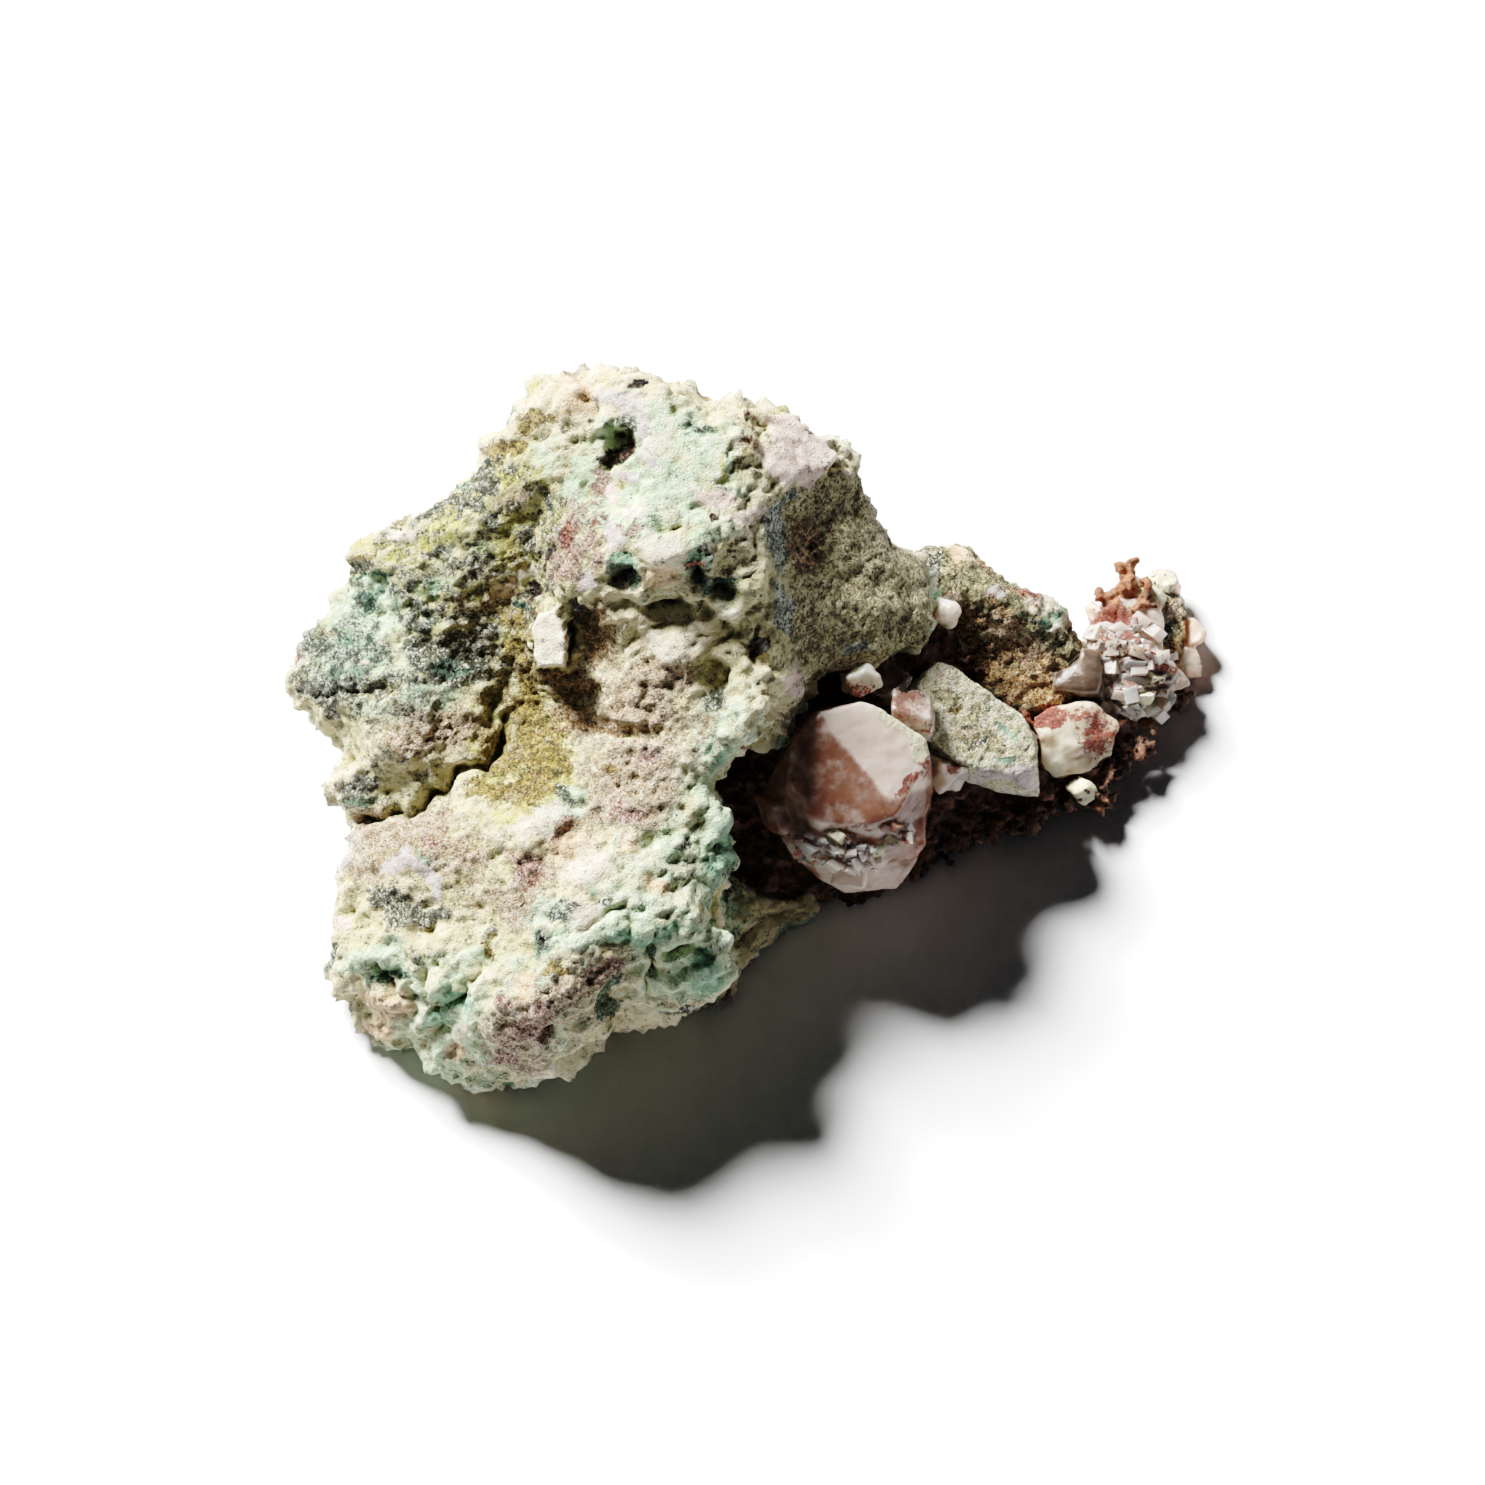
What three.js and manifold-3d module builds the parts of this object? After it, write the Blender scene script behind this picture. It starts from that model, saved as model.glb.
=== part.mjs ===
// Native copper specimen: a pale green block of matrix rock, with an arm of native copper
// at its right that holds rock clasts and calcite crystals. Millimetres, +Z up, resting on Z = 0.
import * as THREE from 'three';
import { mergeVertices } from 'three/addons/utils/BufferGeometryUtils.js';
import { ConvexGeometry } from 'three/addons/geometries/ConvexGeometry.js';
import Module from 'manifold-3d';

const wasm = await Module();
wasm.setup();

// Driving dimensions. Points are [u, v, w]: u to the right and v up along the broad face
// that the specimen shows, w out of that face. The face leans back from level.
const FACE_LEAN = THREE.MathUtils.degToRad(20);
const FACE_LIFT = 8;
const GAP = 0.3;
const FLOOR_CLEARANCE = 0.4;
const BIG = 200;
const MERGE_REACH = 1e-4;

// Main block: how the sides turn in below the rim, and how rough it is
const BLOCK_CELL = [2.3, 2.3, 3.4];
const BLOCK_SPACE = { low: [-50, -41, -27.4], high: [24, 41, 29] };
const RIM_ROUND = 1.5;
const RIM_DROP = 2.5;
const UNDERCUT = 0.22;
const TOP_SLOPE = 0.75;
const SIDE_LUMP = { size: 9, height: 1.6, shift: 3 };
const SIDE_GRAIN = { size: 4, height: 0.7, shift: 5 };
const FACE_GRAIN = { size: 5, height: 0.8, shift: 0 };
// The underside is flat where it rests and rises towards its outline, less where the rim is low
const UNDERSIDE = { edge: 2.2, slope: 0.34, highRim: 9 };
const UNDERSIDE_LUMP = { size: 10, height: 1.1, shift: 6 };

// Outline of the main block along its face
const BLOCK_OUTLINE = [
  [-47.2, 4.5], [-45.6, 7.2], [-45.2, 9.5], [-43.7, 11], [-42.9, 12.8], [-39.9, 14],
  [-39.6, 16.2], [-39.9, 18], [-38.6, 19.7], [-34.8, 22], [-32, 22.9], [-28.8, 26.2],
  [-26.4, 28.6], [-25.8, 30], [-24, 31.2], [-23.3, 33], [-21.8, 33.8], [-20, 36.5],
  [-16.5, 36.3], [-14, 37], [-11.5, 37.7], [-9.5, 36.8], [-6, 34.7], [-2.5, 34.4],
  [1, 34], [3.2, 33.4], [4.6, 33.9], [6.3, 32.6], [8.2, 31.4], [10, 29.2],
  [11.6, 27.8], [12.6, 25.5], [13.8, 22.6], [15.3, 19.7], [17.5, 18.1], [19, 16.3],
  [19.7, 14.2], [20.3, 12.2], [19.8, 9.8], [17.2, 8.4], [14, 7.4], [10.5, 6.6],
  [6.8, 5.6], [6, 2.5], [4.9, 0.3], [2.5, -0.8], [0, -1.2], [-0.8, -3],
  [-3.3, -5.5], [-1.3, -7.2], [-0.3, -9.5], [-0.4, -12.2], [-1.3, -14.6], [-2.2, -16.6],
  [-1.6, -19], [-1, -22.2], [-1.3, -25.8], [-4.5, -26.8], [-8.5, -28.6], [-12.6, -29.1],
  [-13.6, -31.3], [-16.8, -33.6], [-20.5, -35.1], [-24, -37], [-26.3, -37.6], [-29.2, -36.4],
  [-31, -36.2], [-33.8, -34.2], [-36.8, -33.3], [-38.5, -31], [-40.6, -27.4], [-42.3, -25.8],
  [-42.6, -23], [-41.9, -20], [-41.9, -16.5], [-41.1, -13.6], [-39.7, -11.2], [-38.4, -8],
  [-40.2, -7.8], [-41.4, -5.7], [-42.2, -3.9], [-40.6, -2.5], [-39.3, -1.3], [-41.2, 0.2],
  [-44.4, 2.3],
];

// Heights of the main block's face, place by place
const LEFT_SLOPE = [
  [-45.5, 5, 3.5], [-44, 8.5, 6], [-41, 11.5, 8], [-39, 16.5, 8.5], [-37, 19.5, 9], [-33, 21.5, 10],
  [-29, 24.5, 11.5], [-25, 29, 12.5], [-22, 32, 14], [-19.5, 35, 14.5], [-44, 3.8, 5.5], [-41, 5, 9.5],
  [-41.5, 1.8, 6.5], [-39.5, 0.2, 5], [-36, 10, 11], [-37.2, 13.6, 8], [-32, 15, 12.5], [-30, 10, 11.5],
  [-26, 12, 12], [-27, 6.8, 10], [-32, 6, 12], [-35, 4.5, 12.5], [-26, 18, 14], [-30, 20, 13],
  [-23, 22, 14.5], [-24, 26, 14.5], [-19.5, 24, 15], [-22, 18, 13.5], [-21, 15.2, 10.5],
  [-23.5, 10, 9.5],
  [-22, 5, 9], [-20, 1.8, 9.5], [-23.5, 1.8, 10.5],
];
const BULGE = [
  [-18, 32, 17], [-14, 34, 18.5], [-11.5, 36.5, 17.5], [-15, 29, 19.5], [-8, 34, 19], [-11.2, 30, 18],
  [-12.5, 27.2, 16], [-9.8, 27.5, 20], [-4, 33, 19.5], [2, 32.5, 15.5], [6, 31, 14], [9.5, 28.5, 14],
  [-2, 29, 21.5], [-8, 24, 22.5], [-4, 20, 23.6], [2, 24, 20.4], [-10, 18, 24], [-14, 22, 20.5],
  [-16.5, 18, 19], [-18, 14, 17.5], [-19.5, 10, 17.5], [-14, 15, 20], [-10, 15, 22.5], [-4, 15, 23.6],
  [-0.5, 18, 22.6], [2.3, 20, 20.8], [2.6, 15, 20.4], [-11.5, 16.2, 20.5],
];
const POCKET = [
  [-10, 12.8, 19.2], [-6, 12.6, 18.8], [-2.5, 11.8, 20.5], [-5, 10, 20], [-9, 8.8, 19.2], [0, 11, 20.6],
  [2, 8.5, 19.6], [-4, 5.5, 17], [-5, 3.5, 16.6], [-2.2, 7.2, 18.4], [-16, 10, 13.8], [-13.5, 11.5, 17],
  [-16.8, 6, 12.6], [-18, 3.8, 10.6], [-14, 4.5, 15], [-10, 4.2, 17.8], [-14, 1.8, 12.2], [-8, 1.8, 15.6],
  [-16, -0.8, 13.8], [-10, -0.8, 17], [-5, -0.2, 17.6],
];
const RIGHT_RIDGE = [
  [6, 25, 16.2], [4, 22, 17.9], [3.8, 18, 18.8], [4, 14, 18.4], [4.6, 10, 17.7], [5.8, 6.6, 15.6],
  [3, 5, 20], [0.2, 3.8, 21], [-2, 4, 18], [5.2, 4, 15.8], [5.4, 1.8, 15.2], [3.6, 0.6, 16.5],
  [0, 0.2, 21.3], [-2, -3, 20], [-4.2, -5, 19],
];
const RIGHT_FACE = [
  [6, 21, 15], [6.4, 14, 15], [9, 24, 12.9], [11.8, 24.8, 11], [9, 18, 13.5], [13, 18, 11.4],
  [8, 12, 14.4], [12, 12, 12.6], [16, 14, 10.2], [18.8, 14, 8.4], [16, 10, 9.6], [11, 7.6, 12.2],
  [19.2, 11, 8.4], [13.8, 21, 10], [16.5, 17.5, 8.6], [10.8, 27.2, 12.4], [4, 27, 16.8], [7, 27, 15.2],
];
const SMALL_LOBE = [
  [-41, -4, 7], [-39.5, -5.5, 7.5], [-40, -7.2, 4.5], [-36, -3, 11.5], [-31, -0.8, 13.5],
  [-26, 0.2, 12.5],
  [-32, -4, 11.5], [-36, -0.5, 12], [-39, -2.5, 9.5], [-29, -3.6, 9.5], [-25.8, -2.8, 10.5],
  [-33, -5.7, 8.5],
  [-37, -7.4, 7.5], [-23.5, -1.2, 10.5], [-28, -5.2, 13.5], [-34, -8.2, 11.5], [-37.8, -10, 9],
];
const LOWER_LOBE = [
  [-19.5, -0.5, 12], [-21, -3.2, 14], [-23, -5.2, 14.5], [-18, -6, 16.5], [-20, -9, 18.5],
  [-16.8, -10.2, 16.5],
  [-14, -6, 17], [-9, -5, 18], [-5, -6.5, 18.5], [-10, -11, 19.5], [-14, -14, 20.5],
  [-2.5, -10.5, 18.5],
  [-0.9, -11, 15.5], [-4, -15, 18.5], [-2, -15.8, 16.5], [-39, -13, 8.5], [-40.5, -18, 7.5],
  [-34, -13, 12.5],
  [-33, -17.2, 13], [-29, -11, 15.5], [-24, -13, 17.5], [-26, -18.5, 16.5], [-19, -18.5, 20],
  [-12, -18.5, 21],
  [-6, -17.5, 19.5], [-2.8, -19, 18], [-4, -20.8, 18.5], [-1.8, -22.5, 16.5], [-38, -22, 10.5],
  [-34.5, -24.2, 10.5],
  [-40, -26, 5], [-35, -27, 10], [-30, -22.2, 15.5], [-32, -26, 12.8], [-28, -26, 15.5],
  [-29, -29.2, 13],
  [-24, -24, 19], [-24, -29, 18], [-18, -24, 21.5], [-14, -22, 22], [-10, -20.5, 21], [-14, -26, 20.5],
  [-18, -29.5, 18], [-14.2, -28.5, 17], [-26, -32.8, 12], [-21, -32, 14.5], [-34, -31, 5.2],
  [-36.5, -29, 4.8],
  [-30, -34.2, 6.8], [-26, -35.8, 7.2], [-22, -34.2, 8.5], [-16, -31.6, 12.5], [-10, -24.5, 13.5],
  [-8, -22.8, 16],
  [-11.5, -26.3, 14], [-10, -27.2, 11.5], [-5, -22.6, 17.5], [-6.5, -24.5, 16.5], [-3.8, -24.4, 16],
  [-5, -26, 11.5],
  [-2.2, -25.6, 12.5], [-8.5, -27.6, 11],
];

// Low ledge of the main block that shows below the copper at its lower right
const LEDGE_OUTLINE = [
  [-14, -16], [-8, -11], [-1, -13], [5, -15.5], [9.2, -16.1], [7.5, -17.6],
  [5, -19], [2.5, -21.5], [0.5, -23.5], [-0.7, -26], [-4, -26.8], [-9, -27.2], [-13, -24],
];
const LEDGE_TOP = 3.2;
const LEDGE_ROUND = 1;
const LEDGE_GRAIN = { size: 4, height: 0.7, shift: 9 };

// Native copper: a ragged sheet under and between the pieces of the arm
const COPPER_CELL = [2.7, 2.7, 2];
const COPPER_SPACE = { low: [-7, -24, -16], high: [50, 33, 10] };
const COPPER_HALF = 1.9;
const COPPER_ROUND = 1.2;
const COPPER_EDGE = { size: 3.6, height: 1.5, shift: 7 };
const COPPER_GRAIN = { size: 3.1, height: 0.9, shift: 11 };
const COPPER_OUTLINE = [
  [10.6, 29], [12.2, 28.2], [13.2, 27], [13.7, 25], [13.9, 23.2], [14.9, 21],
  [15.8, 19.4], [19, 18], [22, 18], [24.5, 19.4], [26.3, 19.1], [27.7, 17.7],
  [29.6, 16.9], [31, 15.2], [33.2, 14.2], [34.3, 13.4], [33.7, 11.9], [35, 10.8],
  [36.4, 9.4], [37.2, 12.8], [39.5, 13.4], [42.5, 12], [45, 9], [46.7, 6.4],
  [45.8, 5], [45, 3.7], [42.8, 2.8], [41, 0.5], [40.6, -1.2], [38.5, -3.5],
  [36.6, -6], [34.3, -7.1], [31, -7.5], [28, -8.8], [26, -9.8], [23.5, -11.2],
  [21, -12.2], [18.5, -12.8], [17.2, -14.8], [13, -15.9], [9.5, -16.6], [6, -18.5],
  [3, -20.5], [-0.5, -21], [-3.5, -16], [-4, -6], [0, 0], [5, 4],
  [11, 10], [12.2, 18], [10.6, 24],
];
const COPPER_HEIGHTS = [
  [12, 28, 6], [13, 24, 4], [15, 20, 2], [20, 17, -3], [25, 19, -1], [27.5, 17, -1], [31, 14.6, -2],
  [34, 13, -3.6], [35.5, 10, -5.6], [38, 12, -9], [43, 11, -10], [46, 6, -9], [42, 3, -7],
  [40, -1, -5], [37, -5, -4], [31, -7, -3], [25, -10, -2.4], [20, -12, -1.8], [17, -14, -1.2],
  [10, -16, -0.6], [3, -20, 0.4], [0, -14, 1.5], [3, -6, 1], [2, -1, 3], [10, 5, 5.5], [15, 5.4, 4.2],
  [30, -2, -2.2], [24, -7, -1], [36, 3, -4.6], [35, 7, -5], [29, 2, -3],
];
// Rounded nuggets of copper along the upper edge of the back clast: points with a radius each
const EDGE_NUGGETS = [
  [25.4, 18.6, -1, 1.7], [27.6, 17.6, -1.2, 1.8], [29.4, 16.3, -1.6, 1.5], [31.2, 15.6, -2.4, 1.3],
];
// Sprig of copper at the top left of the end cluster: points with a radius each
const SPRIG_ROOM = 0.45;
const SPRIG_STEM = [
  [37.4, 11.4, -10.8, 2.1], [38.2, 12.8, -9.9, 1.7], [38.6, 15, -9.4, 1.3], [39.2, 17.2, -9, 0.9],
  [39.8, 18.4, -8.7, 0.6], [40.4, 17.9, -8.4, 0.4],
];
const SPRIG_ARMS = [
  [[38.6, 14.8, -9.4, 1], [37.6, 14.8, -9, 0.8], [36.8, 14.5, -8.8, 0.5]],
  [[38.9, 16.3, -9.2, 0.8], [38.6, 18.2, -8.8, 0.4]],
  [[39.2, 15.2, -9.6, 1], [40.6, 14.8, -9.6, 0.9], [41.6, 16.3, -9.2, 0.4]],
];

// Back clast: a grey green plate with a hollow face
const BACK_CLAST_CELL = [2.2, 2.2, 3];
const BACK_CLAST_SPACE = { low: [12, -1, -15], high: [39, 24, 5] };
const BACK_CLAST_DEPTH = 7.5;
const BACK_CLAST_ROUND = 1.2;
const BACK_CLAST_GRAIN = { size: 3.4, height: 0.4, shift: 2 };
const BACK_CLAST_EDGE = { size: 4, height: 0.6, shift: 4 };
const BACK_CLAST_OUTLINE = [
  [17.3, 19.2], [20.5, 19.4], [22.5, 20.1], [24, 19.2], [25.6, 16.9], [28.6, 15.6],
  [30.8, 14.4], [33.4, 13.6], [33.6, 11.8], [34.8, 10], [35.8, 8], [35.8, 5],
  [34.5, 3.6], [32, 3.3], [29.5, 2.4], [26.5, 3], [23.5, 4], [20.5, 6.8],
  [17.8, 8.5], [15.5, 12], [15.5, 16],
];
const BACK_CLAST_HEIGHTS = [
  [18, 18, -0.2], [22.8, 19.4, -0.8], [26.5, 16.4, -0.6], [30, 15, -0.8], [33, 13, -1.4], [24, 14, 0.6],
  [28, 12.6, 0.3], [31.5, 11, -0.3], [20, 14, 0], [21, 10.5, -2.4], [25, 9, -3.2], [29, 8.4, -2.2],
  [33, 8, -2.4], [35, 6.5, -3.4], [24, 5.5, -3], [28, 5, -1.4], [31, 5.4, -1.4], [33, 4.4, -2.4],
  [29, 3.2, -2],
];

// Pieces bounded by flat faces: the corners of each
const FRONT_CLAST = [
  [19.9, 7.9, 6.7], [21.6, 7.2, 6.1], [25.2, 3.8, 4.9], [28.2, 2.6, 3.8], [29.6, 0.2, 3.5],
  [29.9, -2.8, 3.6], [28, -3.6, 4.6], [24, -3, 6.4], [21.4, -1.8, 7.4], [18.6, 1, 8.3], [16.2, 4.6, 8.9],
  [30.1, -5.7, 0.6], [27, -5.4, 1.8], [23, -4.2, 3.4], [19.4, -1.2, 5], [15.9, 4.2, 6.2],
  [19.8, 7.8, 2.6],
  [25.6, 4, -1.4], [30, 0.4, -2.2], [29.4, -4.6, -3.2], [24, -3, -2.4], [18, 1.5, -1],
];
const LARGE_CALCITE = [
  [8, 2.8, 14.2], [12.2, 3.8, 13.8], [14.2, 3, 13.8], [18.4, 0.1, 13.3], [18.9, -1.8, 13.3],
  [17.2, -4.2, 13.8], [15.6, -7.4, 14], [13, -8.4, 14.1], [7.6, -8.1, 14.4], [5, -4.2, 14.6],
  [5.6, 0.2, 14.6],
  [2.3, -5.5, 8.4], [2.9, -8, 7.4], [5, -11.2, 6.6], [7.8, -13.9, 6], [10.6, -15.3, 5.2],
  [15.8, -14.9, 4.6],
  [17.8, -12.2, 5.6], [19.2, -6, 7], [19, -1.6, 7.6], [6, 2.6, 6], [4, -1.6, 9],
  [4.4, -7, -1.5], [9, -12.6, -2.4], [15.6, -12.6, -2.4], [17.6, -5, -1.5], [12, 2, 0], [7, 1, 0],
];
// Small crystals grown on the large calcite below its top face: centre, half size and turn
const CALCITE_CRUST = [
  [4.4, -7, 9.6, 1.8, 0.3], [7.4, -9.8, 10.8, 1.7, 1.1], [10.2, -10.8, 10.6, 1.7, 2.2],
  [13.2, -10.8, 10.2, 1.6, 0.7], [16.2, -9.4, 9.6, 1.8, 1.7], [11.6, -12.8, 8.2, 1.6, 2.9],
];
// Loose small calcites between the clasts: name, centre, half size and turn
const SMALL_CALCITES = [
  ['calcite_white_nodule', [11.9, 6.2, 10.4], 1.3, 0.4],
  ['calcite_dark_grain', [14.4, 5.8, 6.8], 1.9, 1.3],
  ['calcite_pink_blade', [17.4, 2.6, 8.6], 1.9, 2.4],
  ['calcite_pink_grain', [20.6, -3.2, 5.6], 1.7, 0.9],
  ['calcite_edge_grain', [20.6, 12.6, 4.4], 1, 1.9],
  ['calcite_grey_lens', [34.7, 6.6, -4.2], 2.3, 2.6],
  ['calcite_pale_grain', [34.7, -5.1, -2.4], 0.9, 0.5],
];
const SMALL_BLOCK = [
  [29.8, 2.3, -0.8], [31.2, 2.9, -1], [34, 3.7, -1.6], [36, 3.5, -2], [38.2, 1.7, -2.4],
  [37.8, 0.2, -2.2], [34.4, -0.8, -0.8], [31, 0.4, -0.2], [30, 0.6, -0.2],
  [30.3, -2, -0.7], [31.9, -3.8, -1.4], [34, -3.5, -1.8], [37.6, -1.6, -3], [38.4, 1.4, -5.4],
  [34, 3.8, -5.6], [30, 2, -4.4], [32, -4, -4.6], [37.4, -1.8, -5],
];

// End cluster of white calcite: centre, half size and turn of each crystal
const END_CLUSTER = [
  [38.1, 12.2, -8.2, 1.9, 0.2], [40.6, 14, -9.4, 2.1, 1.4], [37.6, 9.4, -7.2, 1.7, 2.5],
  [40.4, 11, -8, 2.3, 1.9],
  [43, 15.2, -11, 1.6, 2.9], [37, 6.8, -6.6, 1.9, 1], [39.6, 7.4, -7, 2.4, 2.2],
  [42.2, 6.6, -7.8, 2, 0.5],
  [38.6, 4.8, -6.4, 1.8, 1.6], [41.2, 4.8, -7.2, 1.7, 2.7], [45.6, 10.6, -10.8, 1.4, 1.2],
  [45, 8, -10.2, 1.5, 0.1],
];
const END_ROCK = [
  [42, 14, -9.2], [43.6, 15.2, -10], [45.4, 14.8, -10.2], [45.8, 12.8, -9.2], [45.4, 10.6, -8.4],
  [44.2, 8, -7.6],
  [42.6, 9, -6.8], [42.2, 12, -7.4], [42.6, 13.4, -12], [45.4, 13.6, -12.2], [45, 8.6, -10.8],
  [42.4, 8.4, -10.6],
];

// Vectors of the leaning face
const FACE_UP = [0, Math.cos(FACE_LEAN), Math.sin(FACE_LEAN)];
const FACE_OUT = [0, -Math.sin(FACE_LEAN), Math.cos(FACE_LEAN)];

function toRow(u, v, w) {
  return [
    u,
    v * FACE_UP[1] + w * FACE_OUT[1],
    v * FACE_UP[2] + w * FACE_OUT[2] + FACE_LIFT,
  ];
}

// Smooth random value from -1 to 1 at a point, the same in every build
function cornerValue(i, j, k) {
  let mix = (i * 374761393 + j * 668265263 + k * 2147483647 + 1013904223) | 0;
  mix = Math.imul(mix ^ (mix >>> 13), 1274126177);
  mix = Math.imul(mix ^ (mix >>> 15), 2246822519);
  return ((mix ^ (mix >>> 16)) >>> 0) / 2147483647.5 - 1;
}

function ease(t) {
  return t * t * (3 - 2 * t);
}

function noise(u, v, w, size, shift = 0) {
  const place = [u / size + shift, v / size - shift, w / size + 2 * shift];
  const base = place.map(Math.floor);
  const part = place.map((value, axis) => ease(value - base[axis]));
  let total = 0;
  for (let corner = 0; corner < 8; corner += 1) {
    const step = [corner & 1, (corner >> 1) & 1, (corner >> 2) & 1];
    const weight = step.reduce((product, on, axis) => product * (on ? part[axis] : 1 - part[axis]), 1);
    total += weight * cornerValue(base[0] + step[0], base[1] + step[1], base[2] + step[2]);
  }
  return total;
}

// Height of a roughness at a point
function rough(u, v, w, { size, height, shift }) {
  return height * noise(u, v, w, size, shift);
}

function smoothMax(a, b, round) {
  const blend = Math.max(round - Math.abs(a - b), 0) / round;
  return Math.max(a, b) + (blend * blend * round) / 4;
}

// Distance to an outline, negative inside it
function outlineDistance(outline, u, v) {
  let nearest = Infinity;
  let inside = false;
  outline.forEach(([u1, v1], index) => {
    const [u0, v0] = outline[(index + outline.length - 1) % outline.length];
    const along = [u1 - u0, v1 - v0];
    const share = ((u - u0) * along[0] + (v - v0) * along[1]) / (along[0] ** 2 + along[1] ** 2);
    const clamped = Math.min(Math.max(share, 0), 1);
    nearest = Math.min(nearest, Math.hypot(u - u0 - clamped * along[0], v - v0 - clamped * along[1]));
    if ((v0 > v) !== (v1 > v) && u < u0 + ((v - v0) / (v1 - v0)) * along[0]) {
      inside = !inside;
    }
  });
  return inside ? -nearest : nearest;
}

// Solves a square system of equations, rows holding their right side last
function solve(rows) {
  const count = rows.length;
  for (let column = 0; column < count; column += 1) {
    let best = column;
    for (let row = column + 1; row < count; row += 1) {
      if (Math.abs(rows[row][column]) > Math.abs(rows[best][column])) {
        best = row;
      }
    }
    [rows[column], rows[best]] = [rows[best], rows[column]];
    for (let row = column + 1; row < count; row += 1) {
      const factor = rows[row][column] / rows[column][column];
      for (let item = column; item <= count; item += 1) {
        rows[row][item] -= factor * rows[column][item];
      }
    }
  }
  const answer = new Array(count).fill(0);
  for (let row = count - 1; row >= 0; row -= 1) {
    let rest = rows[row][count];
    for (let item = row + 1; item < count; item += 1) {
      rest -= rows[row][item] * answer[item];
    }
    answer[row] = rest / rows[row][row];
  }
  return answer;
}

// Surface through hand placed heights: a plane plus a cone-shaped share of each point
function heightSurface(points) {
  const spread = (u, v, point) => -Math.hypot(u - point[0], v - point[1]);
  const rows = points.map(([u, v, w]) => [...points.map((point) => spread(u, v, point)), 1, u, v, w]);
  [() => 1, (point) => point[0], (point) => point[1]].forEach((term) => {
    rows.push([...points.map(term), 0, 0, 0, 0]);
  });
  const weights = solve(rows);
  const count = points.length;
  return (u, v) => {
    const plane = weights[count] + weights[count + 1] * u + weights[count + 2] * v;
    return points.reduce((total, point, index) => total + weights[index] * spread(u, v, point), plane);
  };
}

// Makes a solid of indexed triangles
function solidOf(positions, triangles) {
  const mesh = new wasm.Mesh({
    numProp: 3,
    vertProperties: new Float32Array(positions),
    triVerts: new Uint32Array(triangles),
  });
  return new wasm.Manifold(mesh);
}

function solidOfGeometry(geometry) {
  geometry.deleteAttribute('normal');
  geometry.deleteAttribute('uv');
  const merged = mergeVertices(geometry, MERGE_REACH);
  return solidOf(merged.attributes.position.array, merged.index.array);
}

// Solid where a field over [u, v, w] is negative: one vertex in each grid cell that the
// surface crosses, at the mean of its crossings, and one quad across each crossed grid edge
const JOIN_DEPTH = 0.2;
function fieldSolid(field, { low, high }, cell) {
  const count = low.map((value, axis) => Math.ceil((high[axis] - value) / cell[axis]) + 1);
  const stride = [1, count[0], count[0] * count[1]];
  const values = new Float64Array(count[0] * count[1] * count[2]);
  const placeOf = (index) => index.map((step, axis) => low[axis] + step * cell[axis]);
  const each = (visit) => {
    for (let k = 0; k < count[2]; k += 1) {
      for (let j = 0; j < count[1]; j += 1) {
        for (let i = 0; i < count[0]; i += 1) {
          visit([i, j, k], i + j * stride[1] + k * stride[2]);
        }
      }
    }
  };
  each((index, number) => {
    const edge = index.some((step, axis) => step === 0 || step === count[axis] - 1);
    values[number] = edge ? 1 : field(...placeOf(index));
  });
  // Lumps that would touch only along an edge are joined
  let open = true;
  while (open) {
    open = false;
    each((index, number) => {
      for (let axis = 0; axis < 3; axis += 1) {
        const [side, other] = [(axis + 1) % 3, (axis + 2) % 3];
        if (index[side] < count[side] - 1 && index[other] < count[other] - 1) {
          const ring = [0, stride[side], stride[side] + stride[other], stride[other]];
          const inside = ring.map((step) => values[number + step] < 0);
          if (inside[0] === inside[2] && inside[1] === inside[3] && inside[0] !== inside[1]) {
            values[number + ring[inside[0] ? 1 : 0]] = -JOIN_DEPTH;
            open = true;
          }
        }
      }
    });
  }
  const positions = [];
  const vertexOf = new Map();
  each((index, number) => {
    if (index.some((step, axis) => step === count[axis] - 1)) {
      return;
    }
    const sum = [0, 0, 0];
    let crossings = 0;
    for (let axis = 0; axis < 3; axis += 1) {
      const [side, other] = [(axis + 1) % 3, (axis + 2) % 3];
      for (let corner = 0; corner < 4; corner += 1) {
        const start = [...index];
        start[side] += corner & 1;
        start[other] += corner >> 1;
        const from = number + (corner & 1) * stride[side] + (corner >> 1) * stride[other];
        const [here, there] = [values[from], values[from + stride[axis]]];
        if (here < 0 !== there < 0) {
          start[axis] += here / (here - there);
          sum.forEach((value, item) => {
            sum[item] = value + start[item];
          });
          crossings += 1;
        }
      }
    }
    if (crossings > 0) {
      vertexOf.set(number, positions.length / 3);
      positions.push(...toRow(...placeOf(sum.map((value) => value / crossings))));
    }
  });
  const triangles = [];
  const pointAt = (vertex) => new THREE.Vector3().fromArray(positions, 3 * vertex);
  each((index, number) => {
    for (let axis = 0; axis < 3; axis += 1) {
      const [side, other] = [(axis + 1) % 3, (axis + 2) % 3];
      if (index[axis] < count[axis] - 1 && index[side] > 0 && index[other] > 0) {
        const [here, there] = [values[number], values[number + stride[axis]]];
        if (here < 0 !== there < 0) {
          const ring = [-stride[side] - stride[other], -stride[other], 0, -stride[side]];
          const quad = ring.map((step) => vertexOf.get(number + step));
          if (there < 0) {
            quad.reverse();
          }
          const [a, b, c, d] = quad;
          const straight = pointAt(a).distanceTo(pointAt(c)) <= pointAt(b).distanceTo(pointAt(d));
          triangles.push(...(straight ? [a, b, c, a, c, d] : [a, b, d, b, c, d]));
        }
      }
    }
  });
  return solidOf(positions, triangles);
}

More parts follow.
